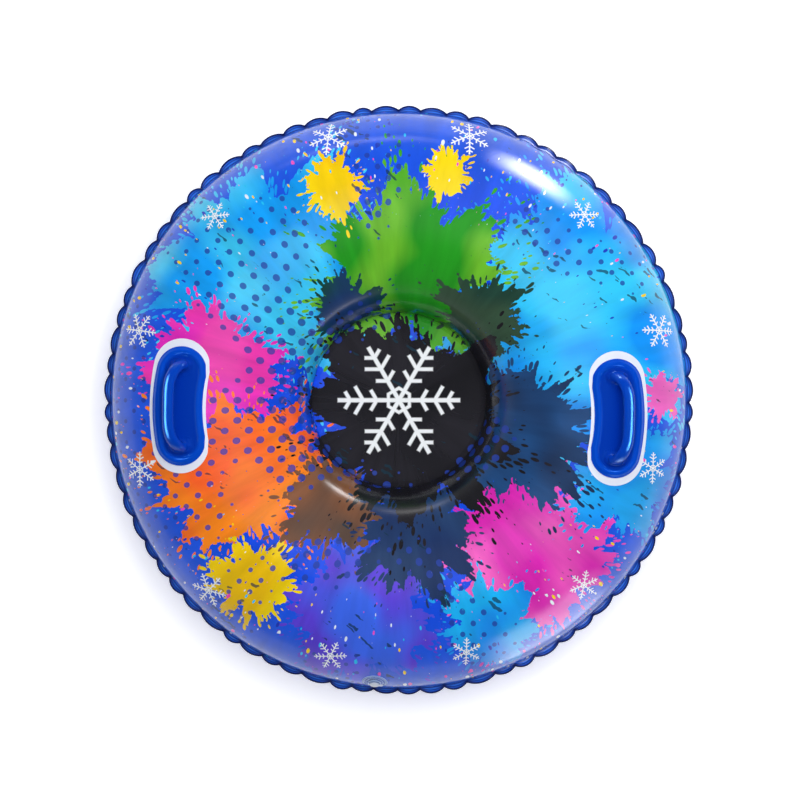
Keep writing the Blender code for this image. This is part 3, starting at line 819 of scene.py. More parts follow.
def sheet_lift(arc, azimuth):
    """Lift = puckers + weld line + tension lines + slow waves, for whole grids of arc and azimuth."""
    puckers = PUCKER * lobe_bulge(azimuth) * np.exp(-((arc / PUCKER_REACH) ** 1.5))
    weld = WELD_HEIGHT * np.exp(-(((arc - WELD_LINE) / WELD_WIDTH) ** 2))
    to_seat = HALF_ROUND - arc
    lines = TENSION * np.sin(TENSION_LINES * azimuth + 2.5 * np.sin(3 * azimuth))
    lines = lines * np.exp(-to_seat / TENSION_REACH) * (to_seat > 0)
    slow = sum(share * np.sin(count * azimuth + lean * arc) for count, lean, share in SLOW_WAVES)
    ends = np.clip(np.minimum(arc, to_seat) / SLOW_ENDS, 0, 1)
    return puckers + weld + lines + SLOW_DEPTH * slow * ends


print("puckers", round(PUCKER / MM, 1), "mm high, slow waves", round(SLOW_DEPTH / MM, 1), "mm")

# %% [markdown]
# ## The two sheets
# Close to the seam a sheet needs many columns to show the puckers, and further up far fewer, so it is two
# grids joined by a row of six-sided faces. One fine grid would look the same with twice the faces. The rows
# crowd together where the weld's line needs them.

# %% Build the sheets' grids
FINE_COLUMNS = 1368
COARSE_COLUMNS = 456
COARSE_ROWS = 46
FINE_ARCS = MM * np.array(
    [0, 0.5, 1.2, 2.2, 3.6, 5.4, 7.2, 7.9, 8.5, 9.1, 9.7, 10.4, 12, 15, 19, 24, 30, 38]
)


def sheet_grid(arc, columns, side):
    """Points and flat places of a grid: rows at arc lengths from the seam, columns round the ring."""
    arc, azimuth = np.meshgrid(arc, around(columns), indexing="ij")
    radius, height = ring_section(side * turn_at(arc), sheet_lift(arc, azimuth))
    height = np.maximum(height, 0) + side * GAP / 2 * (arc == 0)
    points = np.stack([radius * np.cos(azimuth), radius * np.sin(azimuth), height], axis=-1)
    spread = FLAT_RADIUS - arc
    flat = np.stack([spread * np.cos(azimuth), spread * np.sin(azimuth)], axis=-1)
    return points.reshape(-1, 3), flat.reshape(-1, 2)


def sheet_mesh(name, side):
    """One sheet, up from the seam for side 1 and down from it for side -1."""
    coarse_arcs = np.linspace(FINE_ARCS[-1], HALF_ROUND, COARSE_ROWS + 1)[1:]
    fine = sheet_grid(FINE_ARCS, FINE_COLUMNS, side)
    coarse = sheet_grid(coarse_arcs, COARSE_COLUMNS, side)
    first_coarse = len(fine[0])
    last_row = (len(FINE_ARCS) - 1) * FINE_COLUMNS
    ratio = FINE_COLUMNS // COARSE_COLUMNS
    columns = np.arange(COARSE_COLUMNS)
    near = last_row + (columns[:, None] * ratio + np.arange(ratio + 1)) % FINE_COLUMNS
    beyond = first_coarse + np.stack([(columns + 1) % COARSE_COLUMNS, columns], axis=-1)
    faces = [
        grid_faces(len(FINE_ARCS), FINE_COLUMNS),
        np.concatenate([near, beyond], axis=-1),
        grid_faces(COARSE_ROWS, COARSE_COLUMNS, start=first_coarse),
    ]
    if side < 0:
        faces = [array[:, ::-1] for array in faces]
    points = np.concatenate([fine[0], coarse[0]])
    return mesh_from(name, points, faces, np.concatenate([fine[1], coarse[1]]))


print("rows of", FINE_COLUMNS, "points:", len(FINE_ARCS), "and of", COARSE_COLUMNS, "points:", COARSE_ROWS)

# %% [markdown]
# ## The valve's place
# The valve sits on the ring's outer shoulder, square to the film. Its pieces are worked out upright, round
# their own axis, and one matrix carries them to the shoulder and back.

# %% Place the valve
VALVE_AZIMUTH = -94.9
VALVE_TILT = 27.0
valve_turn = math.atan(math.tan(math.radians(VALVE_TILT)) * HALF_HEIGHT / HALF_WIDTH)
valve_radius, valve_height = ring_section(valve_turn)
valve_spot = (
    valve_radius * math.cos(math.radians(VALVE_AZIMUTH)),
    valve_radius * math.sin(math.radians(VALVE_AZIMUTH)),
    valve_height,
)
valve_lean = Euler((math.radians(90 - VALVE_TILT), 0, math.radians(VALVE_AZIMUTH + 90)))
VALVE = np.array(Matrix.Translation(valve_spot) @ valve_lean.to_matrix().to_4x4())


def in_valve(points):
    """Points of the valve's own frame in the scene's frame: turned, then moved."""
    return points @ VALVE[:3, :3].T + VALVE[:3, 3]


def from_valve(points):
    """Points of the scene's frame in the valve's own frame: moved back, then turned back."""
    return (points - VALVE[:3, 3]) @ VALVE[:3, :3]


print("valve at", [round(float(place), 3) for place in VALVE[:3, 3]])

# %% [markdown]
# ## The valve's hole
# The film has a round hole where the valve passes through. Cutting it would leave slivers, so the film is
# pushed aside instead: the faces on the valve's axis go, and the points round them move outwards, more the
# nearer they are, until they stand on the hole's edge.

# %% Open the hole
HOLE_RADIUS = 9.0 * MM
HOLE_PUSH = 24 * MM
HOLE_START = 3.5 * MM


def open_hole(mesh):
    """Deletes the faces on the valve's axis and moves the points near it to d + R * (1 - d / reach)."""
    edit = bmesh.new()
    edit.from_mesh(mesh)
    axis = Vector(VALVE[:3, 2])
    spot = Vector(VALVE[:3, 3])
    doomed = []
    for face in edit.faces:
        offset = face.calc_center_median() - spot
        if (offset - axis * offset.dot(axis)).length < HOLE_START and offset.length < HOLE_PUSH:
            doomed.append(face)
    bmesh.ops.delete(edit, geom=doomed, context="FACES")
    edit.to_mesh(mesh)
    edit.free()
    points = np.empty(len(mesh.vertices) * 3, np.float32)
    mesh.vertices.foreach_get("co", points)
    local = from_valve(points.reshape(-1, 3).astype(float))
    away = np.hypot(local[:, 0], local[:, 1])
    near = (away < HOLE_PUSH) & (abs(local[:, 2]) < HOLE_PUSH)
    pushed = away + HOLE_RADIUS * (1 - away / HOLE_PUSH)
    share = np.where(near, pushed / np.maximum(away, 0.01 * MM), 1)
    local[:, :2] *= share[:, None]
    moved = np.where(near[:, None], in_valve(local), points.reshape(-1, 3))
    mesh.vertices.foreach_set("co", moved.astype(np.float32).ravel())
    mesh.update()
    print("faces removed on the valve's axis:", len(doomed))


print("hole", round(2 * HOLE_RADIUS / MM), "mm across")

# %% [markdown]
# ## The films' walls
# The upper film is about half a millimetre thick, and the one that slides on the snow a little more. A
# Solidify modifier gives each its wall inwards, so that its outer face stays where the formula put it.

# %% Add the sheets
UPPER_THICKNESS = 0.45 * MM
LOWER_THICKNESS = 0.6 * MM


def give_thickness(piece, thickness):
    """Thickens a sheet inwards from its outer face."""
    wall = piece.modifiers.new("film", "SOLIDIFY")
    wall.thickness = thickness
    wall.offset = -1


upper_mesh = sheet_mesh("upper_film", 1)
open_hole(upper_mesh)
upper_film = add_piece("upper_film", upper_mesh, PRINTED, "tube", "printed_sheet", "upper_sheet")
give_thickness(upper_film, UPPER_THICKNESS)
lower_mesh = sheet_mesh("lower_film", -1)
lower_film = add_piece("lower_film", lower_mesh, UNDERSIDE, "tube", "blue_sheet", "lower_sheet")
give_thickness(lower_film, LOWER_THICKNESS)

# %% [markdown]
# ## The welded flange
# Outside the seam both films are welded into one flat flange. Its profile is carried round the ring as a
# closed loop: over the top from the root to the cut edge, round the edge and back underneath. The weld
# tool leaves two fine ridges, and the root stays a little open because the air pushes into it. A bump could
# draw the ridges but not the scalloped outline, so all of it is mesh. Lines of one kind serve twice: as
# heights they are the ridges, and as marks they darken the blue where the bar pressed the film, partly as
# pressed film and partly as painted shade. The root, the cut edge and the creases get painted shade, and
# the full lobes a painted highlight.

# %% Mark the flange
# Lines along the flange: middle and width, as shares of its own width, and height or strength
RIDGES = ((0.47, 0.04, 0.16 * MM), (0.79, 0.04, 0.16 * MM))
# Pressed lines, partly painted shade, and painted shade along the root
PRESSED_AND_SHADED_LINES = ((0.47, 0.05, 0.7), (0.79, 0.04, 0.5), (0, 0.08, 0.7))
# Painted highlight: lighter stripes on the full lobes
LOBE_HIGHLIGHT_STRIPES = ((0.28, 0.12, 1.0), (0.63, 0.06, 0.6))
# Painted shade along the cut edge, a line whose width is a length instead
CUT_EDGE_SHADE = (0, 1.8 * MM, 1.3)
# Painted shade in the creases between the lobes
CREASE_SHADE = 0.75


def soft_lines(place, *lines):
    """Sum over the lines of strength * exp(-((place - middle) / width)^2)."""
    return sum(strength * np.exp(-(((place - middle) / width) ** 2)) for middle, width, strength in lines)


def weld_marks_and_light(share, from_edge, bulge):
    """Darker: pressed lines and painted shade at root, edge and creases; lighter: painted lobe highlight."""
    pressed_and_shaded = soft_lines(from_edge, CUT_EDGE_SHADE) + soft_lines(share, *PRESSED_AND_SHADED_LINES)
    pressed_and_shaded = pressed_and_shaded + CREASE_SHADE * (1 - bulge) * (share > 0.1)
    lobe_highlight = soft_lines(share, *LOBE_HIGHLIGHT_STRIPES) * np.clip(1.6 * bulge - 0.4, 0, 1)
    return pressed_and_shaded, lobe_highlight


print("lines along the flange:", len(PRESSED_AND_SHADED_LINES) + 1, "squeezed and", len(LOBE_HIGHLIGHT_STRIPES), "lobe_highlight")

# %% [markdown]
# The cut edge bends up at the creases and down in the middle of each lobe. So the flange is a wave, whose
# height grows from nothing at the root.

# %% Shape the flange
FLANGE_COLUMNS = LOBES * 20
FLANGE_VALLEY = RIM_CREST - 8.5 * MM
FLANGE_SHARES = np.array(
    [0, 0.06, 0.14, 0.24, 0.36, 0.42, 0.47, 0.52, 0.58, 0.68, 0.74, 0.79, 0.84, 0.9, 0.96, 1]
)[:, None]
EDGE_TURNS = np.radians([60, 30, 0, -30, -60])[:, None]
FLANGE_HALF = 0.55 * MM
WAVE = 1.8 * MM


def flange_mesh():
    """Radius = root + share * width; height = wave +- half thickness, which is thicker at the root."""
    azimuth = around(FLANGE_COLUMNS)[None, :]
    bulge = lobe_bulge(azimuth)
    lobe, across = lobes_at(azimuth)
    root = TUBE_RADIUS + (PUCKER - 0.1 * MM) * bulge
    edge = FLANGE_VALLEY + (RIM_CREST - FLANGE_VALLEY) * bulge
    share = FLANGE_SHARES
    open_root = (0.7 + 1.3 * bulge) * MM * np.exp(-share * 7)
    half = FLANGE_HALF + open_root + soft_lines(share, *RIDGES)
    lean = np.cos(TURN * across + 0.5 * lobe_tilt[lobe]) * (0.75 + 0.25 * lobe_swell[lobe])
    wave = WAVE * lean * share**1.3
    radius = root + (edge - root) * share
    radii = np.concatenate([radius, edge + FLANGE_HALF * np.cos(EDGE_TURNS), radius[::-1]])
    cut = WAVE * lean + FLANGE_HALF * np.sin(EDGE_TURNS)
    heights = np.concatenate([wave + half, cut, (wave - half)[::-1]]) + SEAM_HEIGHT
    points = np.stack([radii * np.cos(azimuth), radii * np.sin(azimuth), heights], axis=-1)
    mesh = mesh_from("welded_rim", points.reshape(-1, 3), [grid_faces(*radii.shape, wrap_rows=True)])
    # Painted shade and painted highlight of the weld, stored at the points for the material
    pressed_and_shaded, lobe_highlight = weld_marks_and_light(share, (1 - share) * (edge - root), bulge)
    store_shares(mesh, "pressed_and_shaded", np.concatenate([pressed_and_shaded, np.ones_like(cut), pressed_and_shaded[::-1]]))
    store_shares(mesh, "lobe_highlight", np.concatenate([lobe_highlight, np.zeros_like(cut), lobe_highlight[::-1]]))
    return closed_up(mesh)


add_piece("welded_rim", flange_mesh(), WELDED_EDGE, "tube", "blue_sheet", "rim_flange")

# %% [markdown]
# ## The seat
# In the middle the two films lie together inside a ring weld. The weld bar presses the edge thinner and
# leaves three fine grooves. Pulled by the ring on all sides, the seat is almost flat, with faint folds
# that start at the weld and die out towards the middle. It is a grid like the sheets, because the print
# reads its flat places too. Its underside is the plain film.

# %% Shape the seat
SEAT_COLUMNS = 360
SEAT_HALF = 0.525 * MM
SEAT_WELD = 9 * MM
SEAT_PRESS = 0.22 * MM
SEAT_ROUNDING = 0.4 * MM
SEAT_EDGE_HALF = 0.3 * MM
GROOVE_DEPTH = 0.16 * MM
GROOVE_PITCH = 3 * MM
FOLD_HEIGHT = 0.28 * MM


def seat_section():
    """Radii and heights: under the seat, round its edge, and back over the weld's grooves on top."""
    edge = SEAT_RADIUS + GAP / 2
    inner = np.linspace(0, edge - SEAT_WELD - 1 * MM, 22)
    weld = np.linspace(edge - SEAT_WELD, edge - SEAT_ROUNDING, 40)
    radii = np.concatenate([inner, weld])
    rounding = edge - SEAT_ROUNDING + SEAT_ROUNDING * np.array([0.7, 1, 0.7])
    groove = GROOVE_DEPTH * np.cos(TURN * (weld - weld[0]) / GROOVE_PITCH)
    top = np.concatenate([np.full(len(inner), SEAT_HALF), SEAT_HALF - SEAT_PRESS + groove])
    height = np.concatenate([-top, SEAT_EDGE_HALF * np.array([-0.7, 0, 0.7]), top[::-1]])
    return np.concatenate([radii, rounding, radii[::-1]]), height, edge


def seat_mesh():
    """The section turned round, plus folds that start at the weld and fade towards the middle."""
    radius, height, edge = seat_section()
    azimuth = around(SEAT_COLUMNS)[None, :]
    inward = np.clip((edge - radius) / edge, 0, 1)[:, None]
    folds = np.sin(23 * azimuth + 2 * np.sin(2 * azimuth)) + 0.6 * np.sin(41 * azimuth)
    folds = FOLD_HEIGHT * folds * np.exp(-inward * 7) * np.clip(inward * 9, 0, 1)
    heights = SEAM_HEIGHT + height[:, None] + folds
    x = radius[:, None] * np.cos(azimuth)
    y = radius[:, None] * np.sin(azimuth)
    points = np.stack([x, y, heights], axis=-1).reshape(-1, 3)
    flat = np.stack([x, y], axis=-1).reshape(-1, 2)
    return closed_up(mesh_from("seat_film", points, [grid_faces(*heights.shape)], flat))


seat = add_piece("seat_film", seat_mesh(), PRINTED, "tube", "printed_sheet", "seat_panel")
seat.data.materials.append(UNDERSIDE)
down = np.empty(len(seat.data.polygons) * 3, np.float32)
seat.data.polygons.foreach_get("normal", down)
below = (down.reshape(-1, 3)[:, 2] < -0.5).astype(np.int32)
seat.data.polygons.foreach_set("material_index", below)

# %% [markdown]
# ## The handles' patches
# A handle is welded to a white patch, and the patch to the film. Seen from above its outline is a kidney:
# a stadium whose middle line bows outwards. Every point of it is a place on that middle line plus a
# distance square to it, so the same formula gives the outline and everything inside it. The height comes
# from the ring itself, so the patch lies on the film like the real one.

# %% Lay things on the ring
HANDLE_OUTWARD = 47 * MM
HANDLE_RADIUS = SECTION_RADIUS + HANDLE_OUTWARD
HANDLE_AZIMUTHS = {"left": 181.5, "right": -4.8}
HANDLE_FACINGS = {"left": 179.0, "right": -1.2}
HANDLE_BOW = 6 * MM
PATCH_SIZE = (95 * MM, 226 * MM)
PAD_SIZE = (84 * MM, 200 * MM)


def on_film(x, y, lift):
    """Points over plan places: the ellipse gives the height, and the lift follows its normal."""
    radius = np.hypot(x, y)
    turn = np.arccos(np.clip((radius - SECTION_RADIUS) / HALF_WIDTH, -1, 1))
    far, height = ring_section(turn, lift)
    return np.stack([x / radius * far, y / radius * far, height], axis=-1)


def at_handle(side, outwards, along):
    """Plan places on a handle: its middle on the ring, plus both distances turned to where it faces."""
    turn, facing = math.radians(HANDLE_AZIMUTHS[side]), math.radians(HANDLE_FACINGS[side])
    x = HANDLE_RADIUS * math.cos(turn) + outwards * math.cos(facing) - along * math.sin(facing)
    y = HANDLE_RADIUS * math.sin(turn) + outwards * math.sin(facing) + along * math.cos(facing)
    return x, y


def kidney(size, sides=90, ends=44):
    """Middle line places and outward directions all round a kidney, in its own plan frame."""
    reach = (size[1] - size[0]) / 2
    along = np.linspace(-reach, reach, sides)
    bow = HANDLE_BOW * (1 - (along / reach) ** 2)
    slope = np.arctan(-2 * HANDLE_BOW * along / reach**2)
    side_base = np.stack([bow, along], axis=-1)
    side_out = np.stack([np.cos(slope), -np.sin(slope)], axis=-1)
    lean = math.atan(2 * HANDLE_BOW / reach)
    turn = np.linspace(0, math.pi, ends)[1:-1]
    angle = turn + lean * np.cos(turn)
    far_base = np.tile([0, reach], (len(turn), 1))
    far_out = np.stack([np.cos(angle), np.sin(angle)], axis=-1)
    near_base = far_base * [1, -1]
    near_out = far_out[::-1] * [1, -1]
    base = np.concatenate([side_base, far_base, side_base[::-1], near_base])
    out = np.concatenate([side_out, far_out, -side_out[::-1], near_out])
    return base, out


print("an outline has", len(kidney(PATCH_SIZE)[0]), "points")

# %% [markdown]
# ## Layers of a handle
# Patch and pad are both layers: rings of that outline, one inside the other, from the underside round the
# cut edge and over the top. Only their heights differ, so one function builds both.

# %% Stack rings into a layer
def kidney_layer(name, size, distances, heights, thick_shade=0.0):
    """A closed layer: rings at distances from the middle line, lifted off the film by heights(plan places).

    A share for each ring, stored as thickness, from which the material paints light and shade.
    """
    base, out = kidney(size)
    plan = base[None] + distances[:, None, None] * out[None]
    x, y = at_handle(name.split("_")[0], plan[..., 0], plan[..., 1])
    points = on_film(x, y, heights(plan))
    mesh = mesh_from(name, points.reshape(-1, 3), [grid_faces(*x.shape)])
    # Thickness share, from which the material paints a glow where low and shade where high
    store_shares(mesh, "thickness", np.reshape(thick_shade, (-1, 1)) + 0 * x)
    return closed_up(mesh)


for layer_name, layer_size in (("patch", PATCH_SIZE), ("pad", PAD_SIZE)):
    print(f"{layer_name}: {layer_size[0] / MM:.0f} by {layer_size[1] / MM:.0f} mm")

# %% [markdown]
# ## White PVC patch
# The patch is white film with a satin face, which a higher roughness gives. The real grain is a few tenths
# of a millimetre wide, and is drawn 1 mm wide so that it shows. The weld tool leaves a fine groove along the
# edge. The groove is in the mesh, because the rings that follow the edge draw it exactly.

# %% Add the patches
def white_film(tree, place):
    """White soft PVC film, satin: a touch of blue in the white and a fine grain in the face."""
    cloud = add(tree, "TexNoise", {"Vector": place, "Scale": 1 / (33.3 * MM), "Detail": 2})
    shader = {
        "Base Color": ink_over(tree, "#E4EAFC", "#F0F4FF", cloud),
        "Roughness": 0.3,
        "IOR": FILM_IOR,
        "Normal": uneven(tree, place, 1.11 * MM, 0.03 * MM),
    }
    return add(tree, "BsdfPrincipled", shader)


WHITE = make_material("white PVC film", white_film)
PATCH_LOW = GAP
PATCH_THICKNESS = 0.5 * MM
PATCH_HIGH = PATCH_LOW + PATCH_THICKNESS
# Distance in from the cut edge and height over the film, in mm, from the edge's foot over the groove
PATCH_SECTION = [
    (0.15, 0), (0.05, 0.05), (0, 0.15), (0, 0.4), (0.05, 0.47), (0.15, 0.5), (2, 0.5),
    (2.6, 0.42), (3, 0.34), (3.4, 0.42), (4, 0.5), (8, 0.5), (16, 0.5), (32, 0.5),
]


def add_patch(side):
    """Flat underneath from the middle outwards, then the section above, and flat again to the middle."""
    half = PATCH_SIZE[0] / 2
    insets, lifts = np.array(PATCH_SECTION).T * MM
    distances = np.concatenate([[0, half - 6 * MM], half - insets, [0]])
    heights = PATCH_LOW + np.concatenate([[0, 0], lifts, [PATCH_THICKNESS]])
    mesh = kidney_layer(f"{side}_patch", PATCH_SIZE, distances, lambda plan: heights[:, None])
    add_piece(f"{side}_patch", mesh, WHITE, "tube", "white_patch", f"{side}_handle_patch")


for side_name in HANDLE_AZIMUTHS:
    add_patch(side_name)

# %% [markdown]
# ## Moulded PVC handles
# Pad and grip are injection moulded from soft PVC. The material lets a little light in, so the thin lip
# over the white patch looks a brighter blue than the thick parts. Light scattered inside the plastic could
# show that, but slowly and with grain. Here a point attribute stores the thickness, and the colour follows
# it: a painted glow on the thin lip, and painted shade on the thick parts, deepest on the pad's floor
# inside the bead.

# %% Make the moulded material
def moulded(tree, place):
    """Glossy moulded soft PVC: painted shade where thick, a painted glow where thin, and a blue shine."""
    thick_shade = add(tree, "Attribute", output="Fac", attribute_name="thickness")
    shader = {
        # Painted light: brighter blue for light through the thin lip, deeper blue for shade on thick parts
        "Base Color": ink_over(tree, "#0448CA", "#0234AC", thick_shade),
        "Roughness": 0.16,
        "IOR": 1.54,
        "Specular Tint": rgb("#58B4FF"),
        "Normal": uneven(tree, place, 11.1 * MM, 0.12 * MM, detail=1),
    }
    return add(tree, "BsdfPrincipled", shader)


MOULDED = make_material("moulded blue PVC", moulded)

# %% [markdown]
# ## The pads
# The pad is a shallow tray: a flat lip, a rounded bead that runs all round, and a floor with a boss at
# each end for the grip. Ripples like those on a bellows ring each boss, so that it can give. It could be
# joined from solids, but then each joint would need a rounding of its own. So all of it is one height over
# the film, added up from smooth steps and cosine humps.

# %% Shape the pads
PAD_LOW = PATCH_HIGH + GAP
PAD_PLATE = 1.6 * MM
BEAD = 3.0 * MM
BEAD_INSET = (1.0 * MM, 15.0 * MM)
BEAD_SLOPE = 6 * MM
BOSS_SIZE = (38 * MM, 24 * MM)
BOSS_HEIGHT = 5.5 * MM
BOSS_EDGE_SHARES = (0.72, 1.12)
RIPPLE_HEIGHT = 0.45 * MM
RIPPLE_PITCH_SHARE = 0.22
RIPPLE_START_SHARES = (1.05, 1.15)
RIPPLE_END_SHARES = (1.55, 1.75)
GRIP_SPAN = 138 * MM


def smooth_step(value, start, end):
    """0 before start, 1 after end, and 3t^2 - 2t^3 between them."""
    share = np.clip((value - start) / (end - start), 0, 1)
    return share * share * (3 - 2 * share)


def pad_height(plan, distance):
    """Height of the pad's top over the patch, from the distance to the middle line and to each boss."""
    inset = PAD_SIZE[0] / 2 - distance
    bead = smooth_step(inset, BEAD_INSET[0], BEAD_INSET[0] + BEAD_SLOPE)
    bead = bead - smooth_step(inset, BEAD_INSET[1] - BEAD_SLOPE, BEAD_INSET[1])
    height = PAD_PLATE + BEAD * bead
    for sign in (-1, 1):
        along = plan[..., 1] - sign * GRIP_SPAN / 2
        away = 2 * np.hypot(plan[..., 0] / BOSS_SIZE[0], along / BOSS_SIZE[1])
        boss = PAD_PLATE + BOSS_HEIGHT * (1 - smooth_step(away, *BOSS_EDGE_SHARES))
        ripple = np.cos((away - BOSS_EDGE_SHARES[1]) * TURN / RIPPLE_PITCH_SHARE)
        ripple = RIPPLE_HEIGHT * ripple * smooth_step(away, *RIPPLE_START_SHARES)
        ripple = ripple * (1 - smooth_step(away, *RIPPLE_END_SHARES)) * (1 - bead)
        height = np.maximum(height + ripple, boss)
    return height


print("bosses", round(BOSS_HEIGHT / MM, 1), "mm high,", round(GRIP_SPAN / MM), "mm apart")

# %% [markdown]
# The pad's rings start under its middle, go out to the cut edge, round it, and come back over the top. The
# first ones have fixed heights, and the height function gives the others. Its lip is marked as thin and
# its floor as thick, so the material paints a glow on the lip and shade on the floor.

# %% Add the pads
def add_pad(side):
    """The pad: underside, rounded cut edge, and the modelled top in to the middle line."""
    half = PAD_SIZE[0] / 2
    under = np.array([0, half - 5 * MM, half - 0.4 * MM])
    edge = half - np.array([0, 0, 0.25]) * MM
    top = half - np.concatenate([[0.7 * MM], np.linspace(1.2 * MM, half, 76)])
    distances = np.concatenate([under, edge, top])
    rim_heights = np.array([0, 0, 0, 0.4, 1.1, 1.45]) * MM

    def heights(plan):
        """The given heights for the rings round the edge, and the height function's for the others."""
        tops = pad_height(plan, distances[:, None])
        tops[: len(rim_heights)] = rim_heights[:, None]
        return PAD_LOW + tops

    # Low on the lip for a painted glow, high on the floor for painted shade
    thick_shade = 1 - smooth_step(distances, half - 16 * MM, half - 11 * MM)
    mesh = kidney_layer(f"{side}_pad", PAD_SIZE, distances, heights, thick_shade)
    add_piece(f"{side}_pad", mesh, MOULDED, "tube", "moulded_handle", f"{side}_handle_pad")


for side_name in HANDLE_AZIMUTHS:
    add_pad(side_name)

# %% [markdown]
# ## The grips
# The grip is an oval carried along a flat-topped arch. The arch is a superellipse: along = reach *
# cos(t)^(2/p), rise = height * sin(t)^(2/p), with p near 3. Each section stands square to the arch, and it
# flares into the boss at both ends. A curve with a bevel would be quicker, but its oval turns as it goes.

# %% Shape the grips
GRIP_RISE = 36 * MM
GRIP_BOW = 14 * MM
GRIP_HALF_WIDTH = 9.5 * MM
GRIP_HALF_DEPTH = 6.75 * MM
GRIP_POWER = 2.9
GRIP_ROUNDNESS = 0.85
GRIP_STATIONS = 150
GRIP_SIDES = 64
# The grip's thickness share, which sets its painted shade
GRIP_THICK_SHADE = 0.55
FOOT_HEIGHT = PAD_LOW + PAD_PLATE + BOSS_HEIGHT - 0.4 * MM
# How much wider the foot is, and how far along the grip the flare reaches
GRIP_FLARES = ((0.32, 5 * MM), (0.10, 18 * MM))


def power_of(wave, power):
    """A sine or cosine raised to a power with its sign kept, which squares a round outline."""
    return np.sign(wave) * abs(wave) ** power


def grip_arch():
    """Evenly spaced points on the superellipse above the boss, and each one's distance from the first."""
    reach = GRIP_SPAN / 2
    turn = np.linspace(0, math.pi, 4001)
    along = reach * power_of(np.cos(turn), 2 / GRIP_POWER)
    rise = GRIP_RISE * power_of(np.sin(turn), 2 / GRIP_POWER)
    bow = GRIP_BOW * (1 - (along / reach) ** 4)
    arch = np.stack([bow, along, rise], axis=-1)[rise >= FOOT_HEIGHT]
    length = np.concatenate([[0], np.cumsum(np.linalg.norm(np.diff(arch, axis=0), axis=1))])
    stations = np.linspace(0, length[-1], GRIP_STATIONS)
    return np.stack([np.interp(stations, length, arch[:, axis]) for axis in range(3)], axis=-1), stations


def grip_rings():
    """Ring = arch point + wide * width * cos(s) + across * depth * sin(s), closed by shrinking end rings."""
    arch, stations = grip_arch()
    ahead = np.gradient(arch, axis=0)
    ahead /= np.linalg.norm(ahead, axis=1, keepdims=True)
    across = np.cross(ahead, np.array([1.0, 0, 0]))
    across /= np.linalg.norm(across, axis=1, keepdims=True)
    wide = np.cross(across, ahead)
    from_end = np.minimum(stations, stations[-1] - stations)[:, None]
    flare = 1 + sum(share * np.exp(-from_end / reach) for share, reach in GRIP_FLARES)
    angle = around(GRIP_SIDES)
    to_side = GRIP_HALF_WIDTH * flare * power_of(np.cos(angle), GRIP_ROUNDNESS)
    to_top = GRIP_HALF_DEPTH * flare * power_of(np.sin(angle), GRIP_ROUNDNESS)
    rings = arch[:, None] + wide[:, None] * to_side[..., None] + across[:, None] * to_top[..., None]
    shrink = np.array([0, 0.5, 0.9])[:, None, None]
    first = arch[0] + (rings[0] - arch[0])[None] * shrink
    last = arch[-1] + (rings[-1] - arch[-1])[None] * shrink[::-1]
    return np.concatenate([first, rings, last])


print("grip", round(grip_arch()[1][-1] / MM), "mm long round its arch")

# %% [markdown]
# The grip is worked out upright too. Its place on the ring leans with the film, so that its feet stand
# square on the bosses.

# %% Add the grips
def grip_place(side):
    """Matrix from the grip's own frame: leaned with the film, turned to its facing, moved to its place."""
    section_turn = math.acos(HANDLE_OUTWARD / HALF_WIDTH)
    height = ring_section(section_turn)[1]
    lean = math.atan2(math.cos(section_turn) * HALF_HEIGHT, math.sin(section_turn) * HALF_WIDTH)
    facing = Euler((0, lean, math.radians(HANDLE_FACINGS[side])))
    place = Matrix.Translation((*at_handle(side, 0, 0), height)) @ facing.to_matrix().to_4x4()
    return np.array(place)


def grip_mesh(side):
    """The rings carried to their place, with one thickness share all over for the painted shade."""
    place = grip_place(side)
    points = grip_rings() @ place[:3, :3].T + place[:3, 3]
    mesh = mesh_from(f"{side}_grip", points.reshape(-1, 3), [grid_faces(*points.shape[:2])])
    mesh = closed_up(mesh)
    store_shares(mesh, "thickness", np.full(len(mesh.vertices), GRIP_THICK_SHADE))
    return mesh


for side_name in HANDLE_AZIMUTHS:
    mesh = grip_mesh(side_name)
    add_piece(f"{side_name}_grip", mesh, MOULDED, "tube", "moulded_handle", f"{side_name}_handle_grip")

# %% [markdown]
# ## Clear PVC valve
# The valve is moulded from clear soft PVC. Where it is thin, the blue film shows through it, and where it is
# thick, as at the stopper, it looks milky. An opacity does that here, because it keeps light on the film
# beneath. The ridges and edges still shine, as the skin is glossy.

# %% Make the clear materials
def clear_pvc(tree, place, low, high, opacity, ridge_opacity=None):
    """Clear soft PVC, moulded: a cold milky tint over what lies behind, more so where a ridge is thick."""
    haze = add(tree, "TexNoise", {"Vector": place, "Scale": 1 / (6.25 * MM), "Detail": 2})
    if ridge_opacity is not None:
        ridge = add(tree, "Attribute", output="Fac", attribute_name="ridge")
        opacity = add(tree, "MapRange", (ridge, 0, 1, opacity, ridge_opacity))
    shader = {
        "Base Color": ink_over(tree, low, high, haze),
        "Roughness": 0.1,
        "IOR": FILM_IOR,
        "Alpha": opacity,
    }
    return add(tree, "BsdfPrincipled", shader)


THIN_CLEAR = make_material("thin clear PVC", clear_pvc, "#A4C4FC", "#BCD6FF", 0.14, 0.80)
MILKY_CLEAR = make_material("milky clear PVC", clear_pvc, "#DCE6FA", "#ECF2FE", 0.88)

# %% [markdown]
# ## The valve
# Every piece of the valve is turned: a profile of distances from the axis and heights along it. The base
# is welded to the curved film, so the outer part of its profile follows the film, found by sliding each
# point down the axis until it meets the ring. A Screw modifier turns a profile too, but can't do that.

# %% Turn profiles round the valve's axis
ROUND_COLUMNS = 120
NEWTON_STEPS = 8


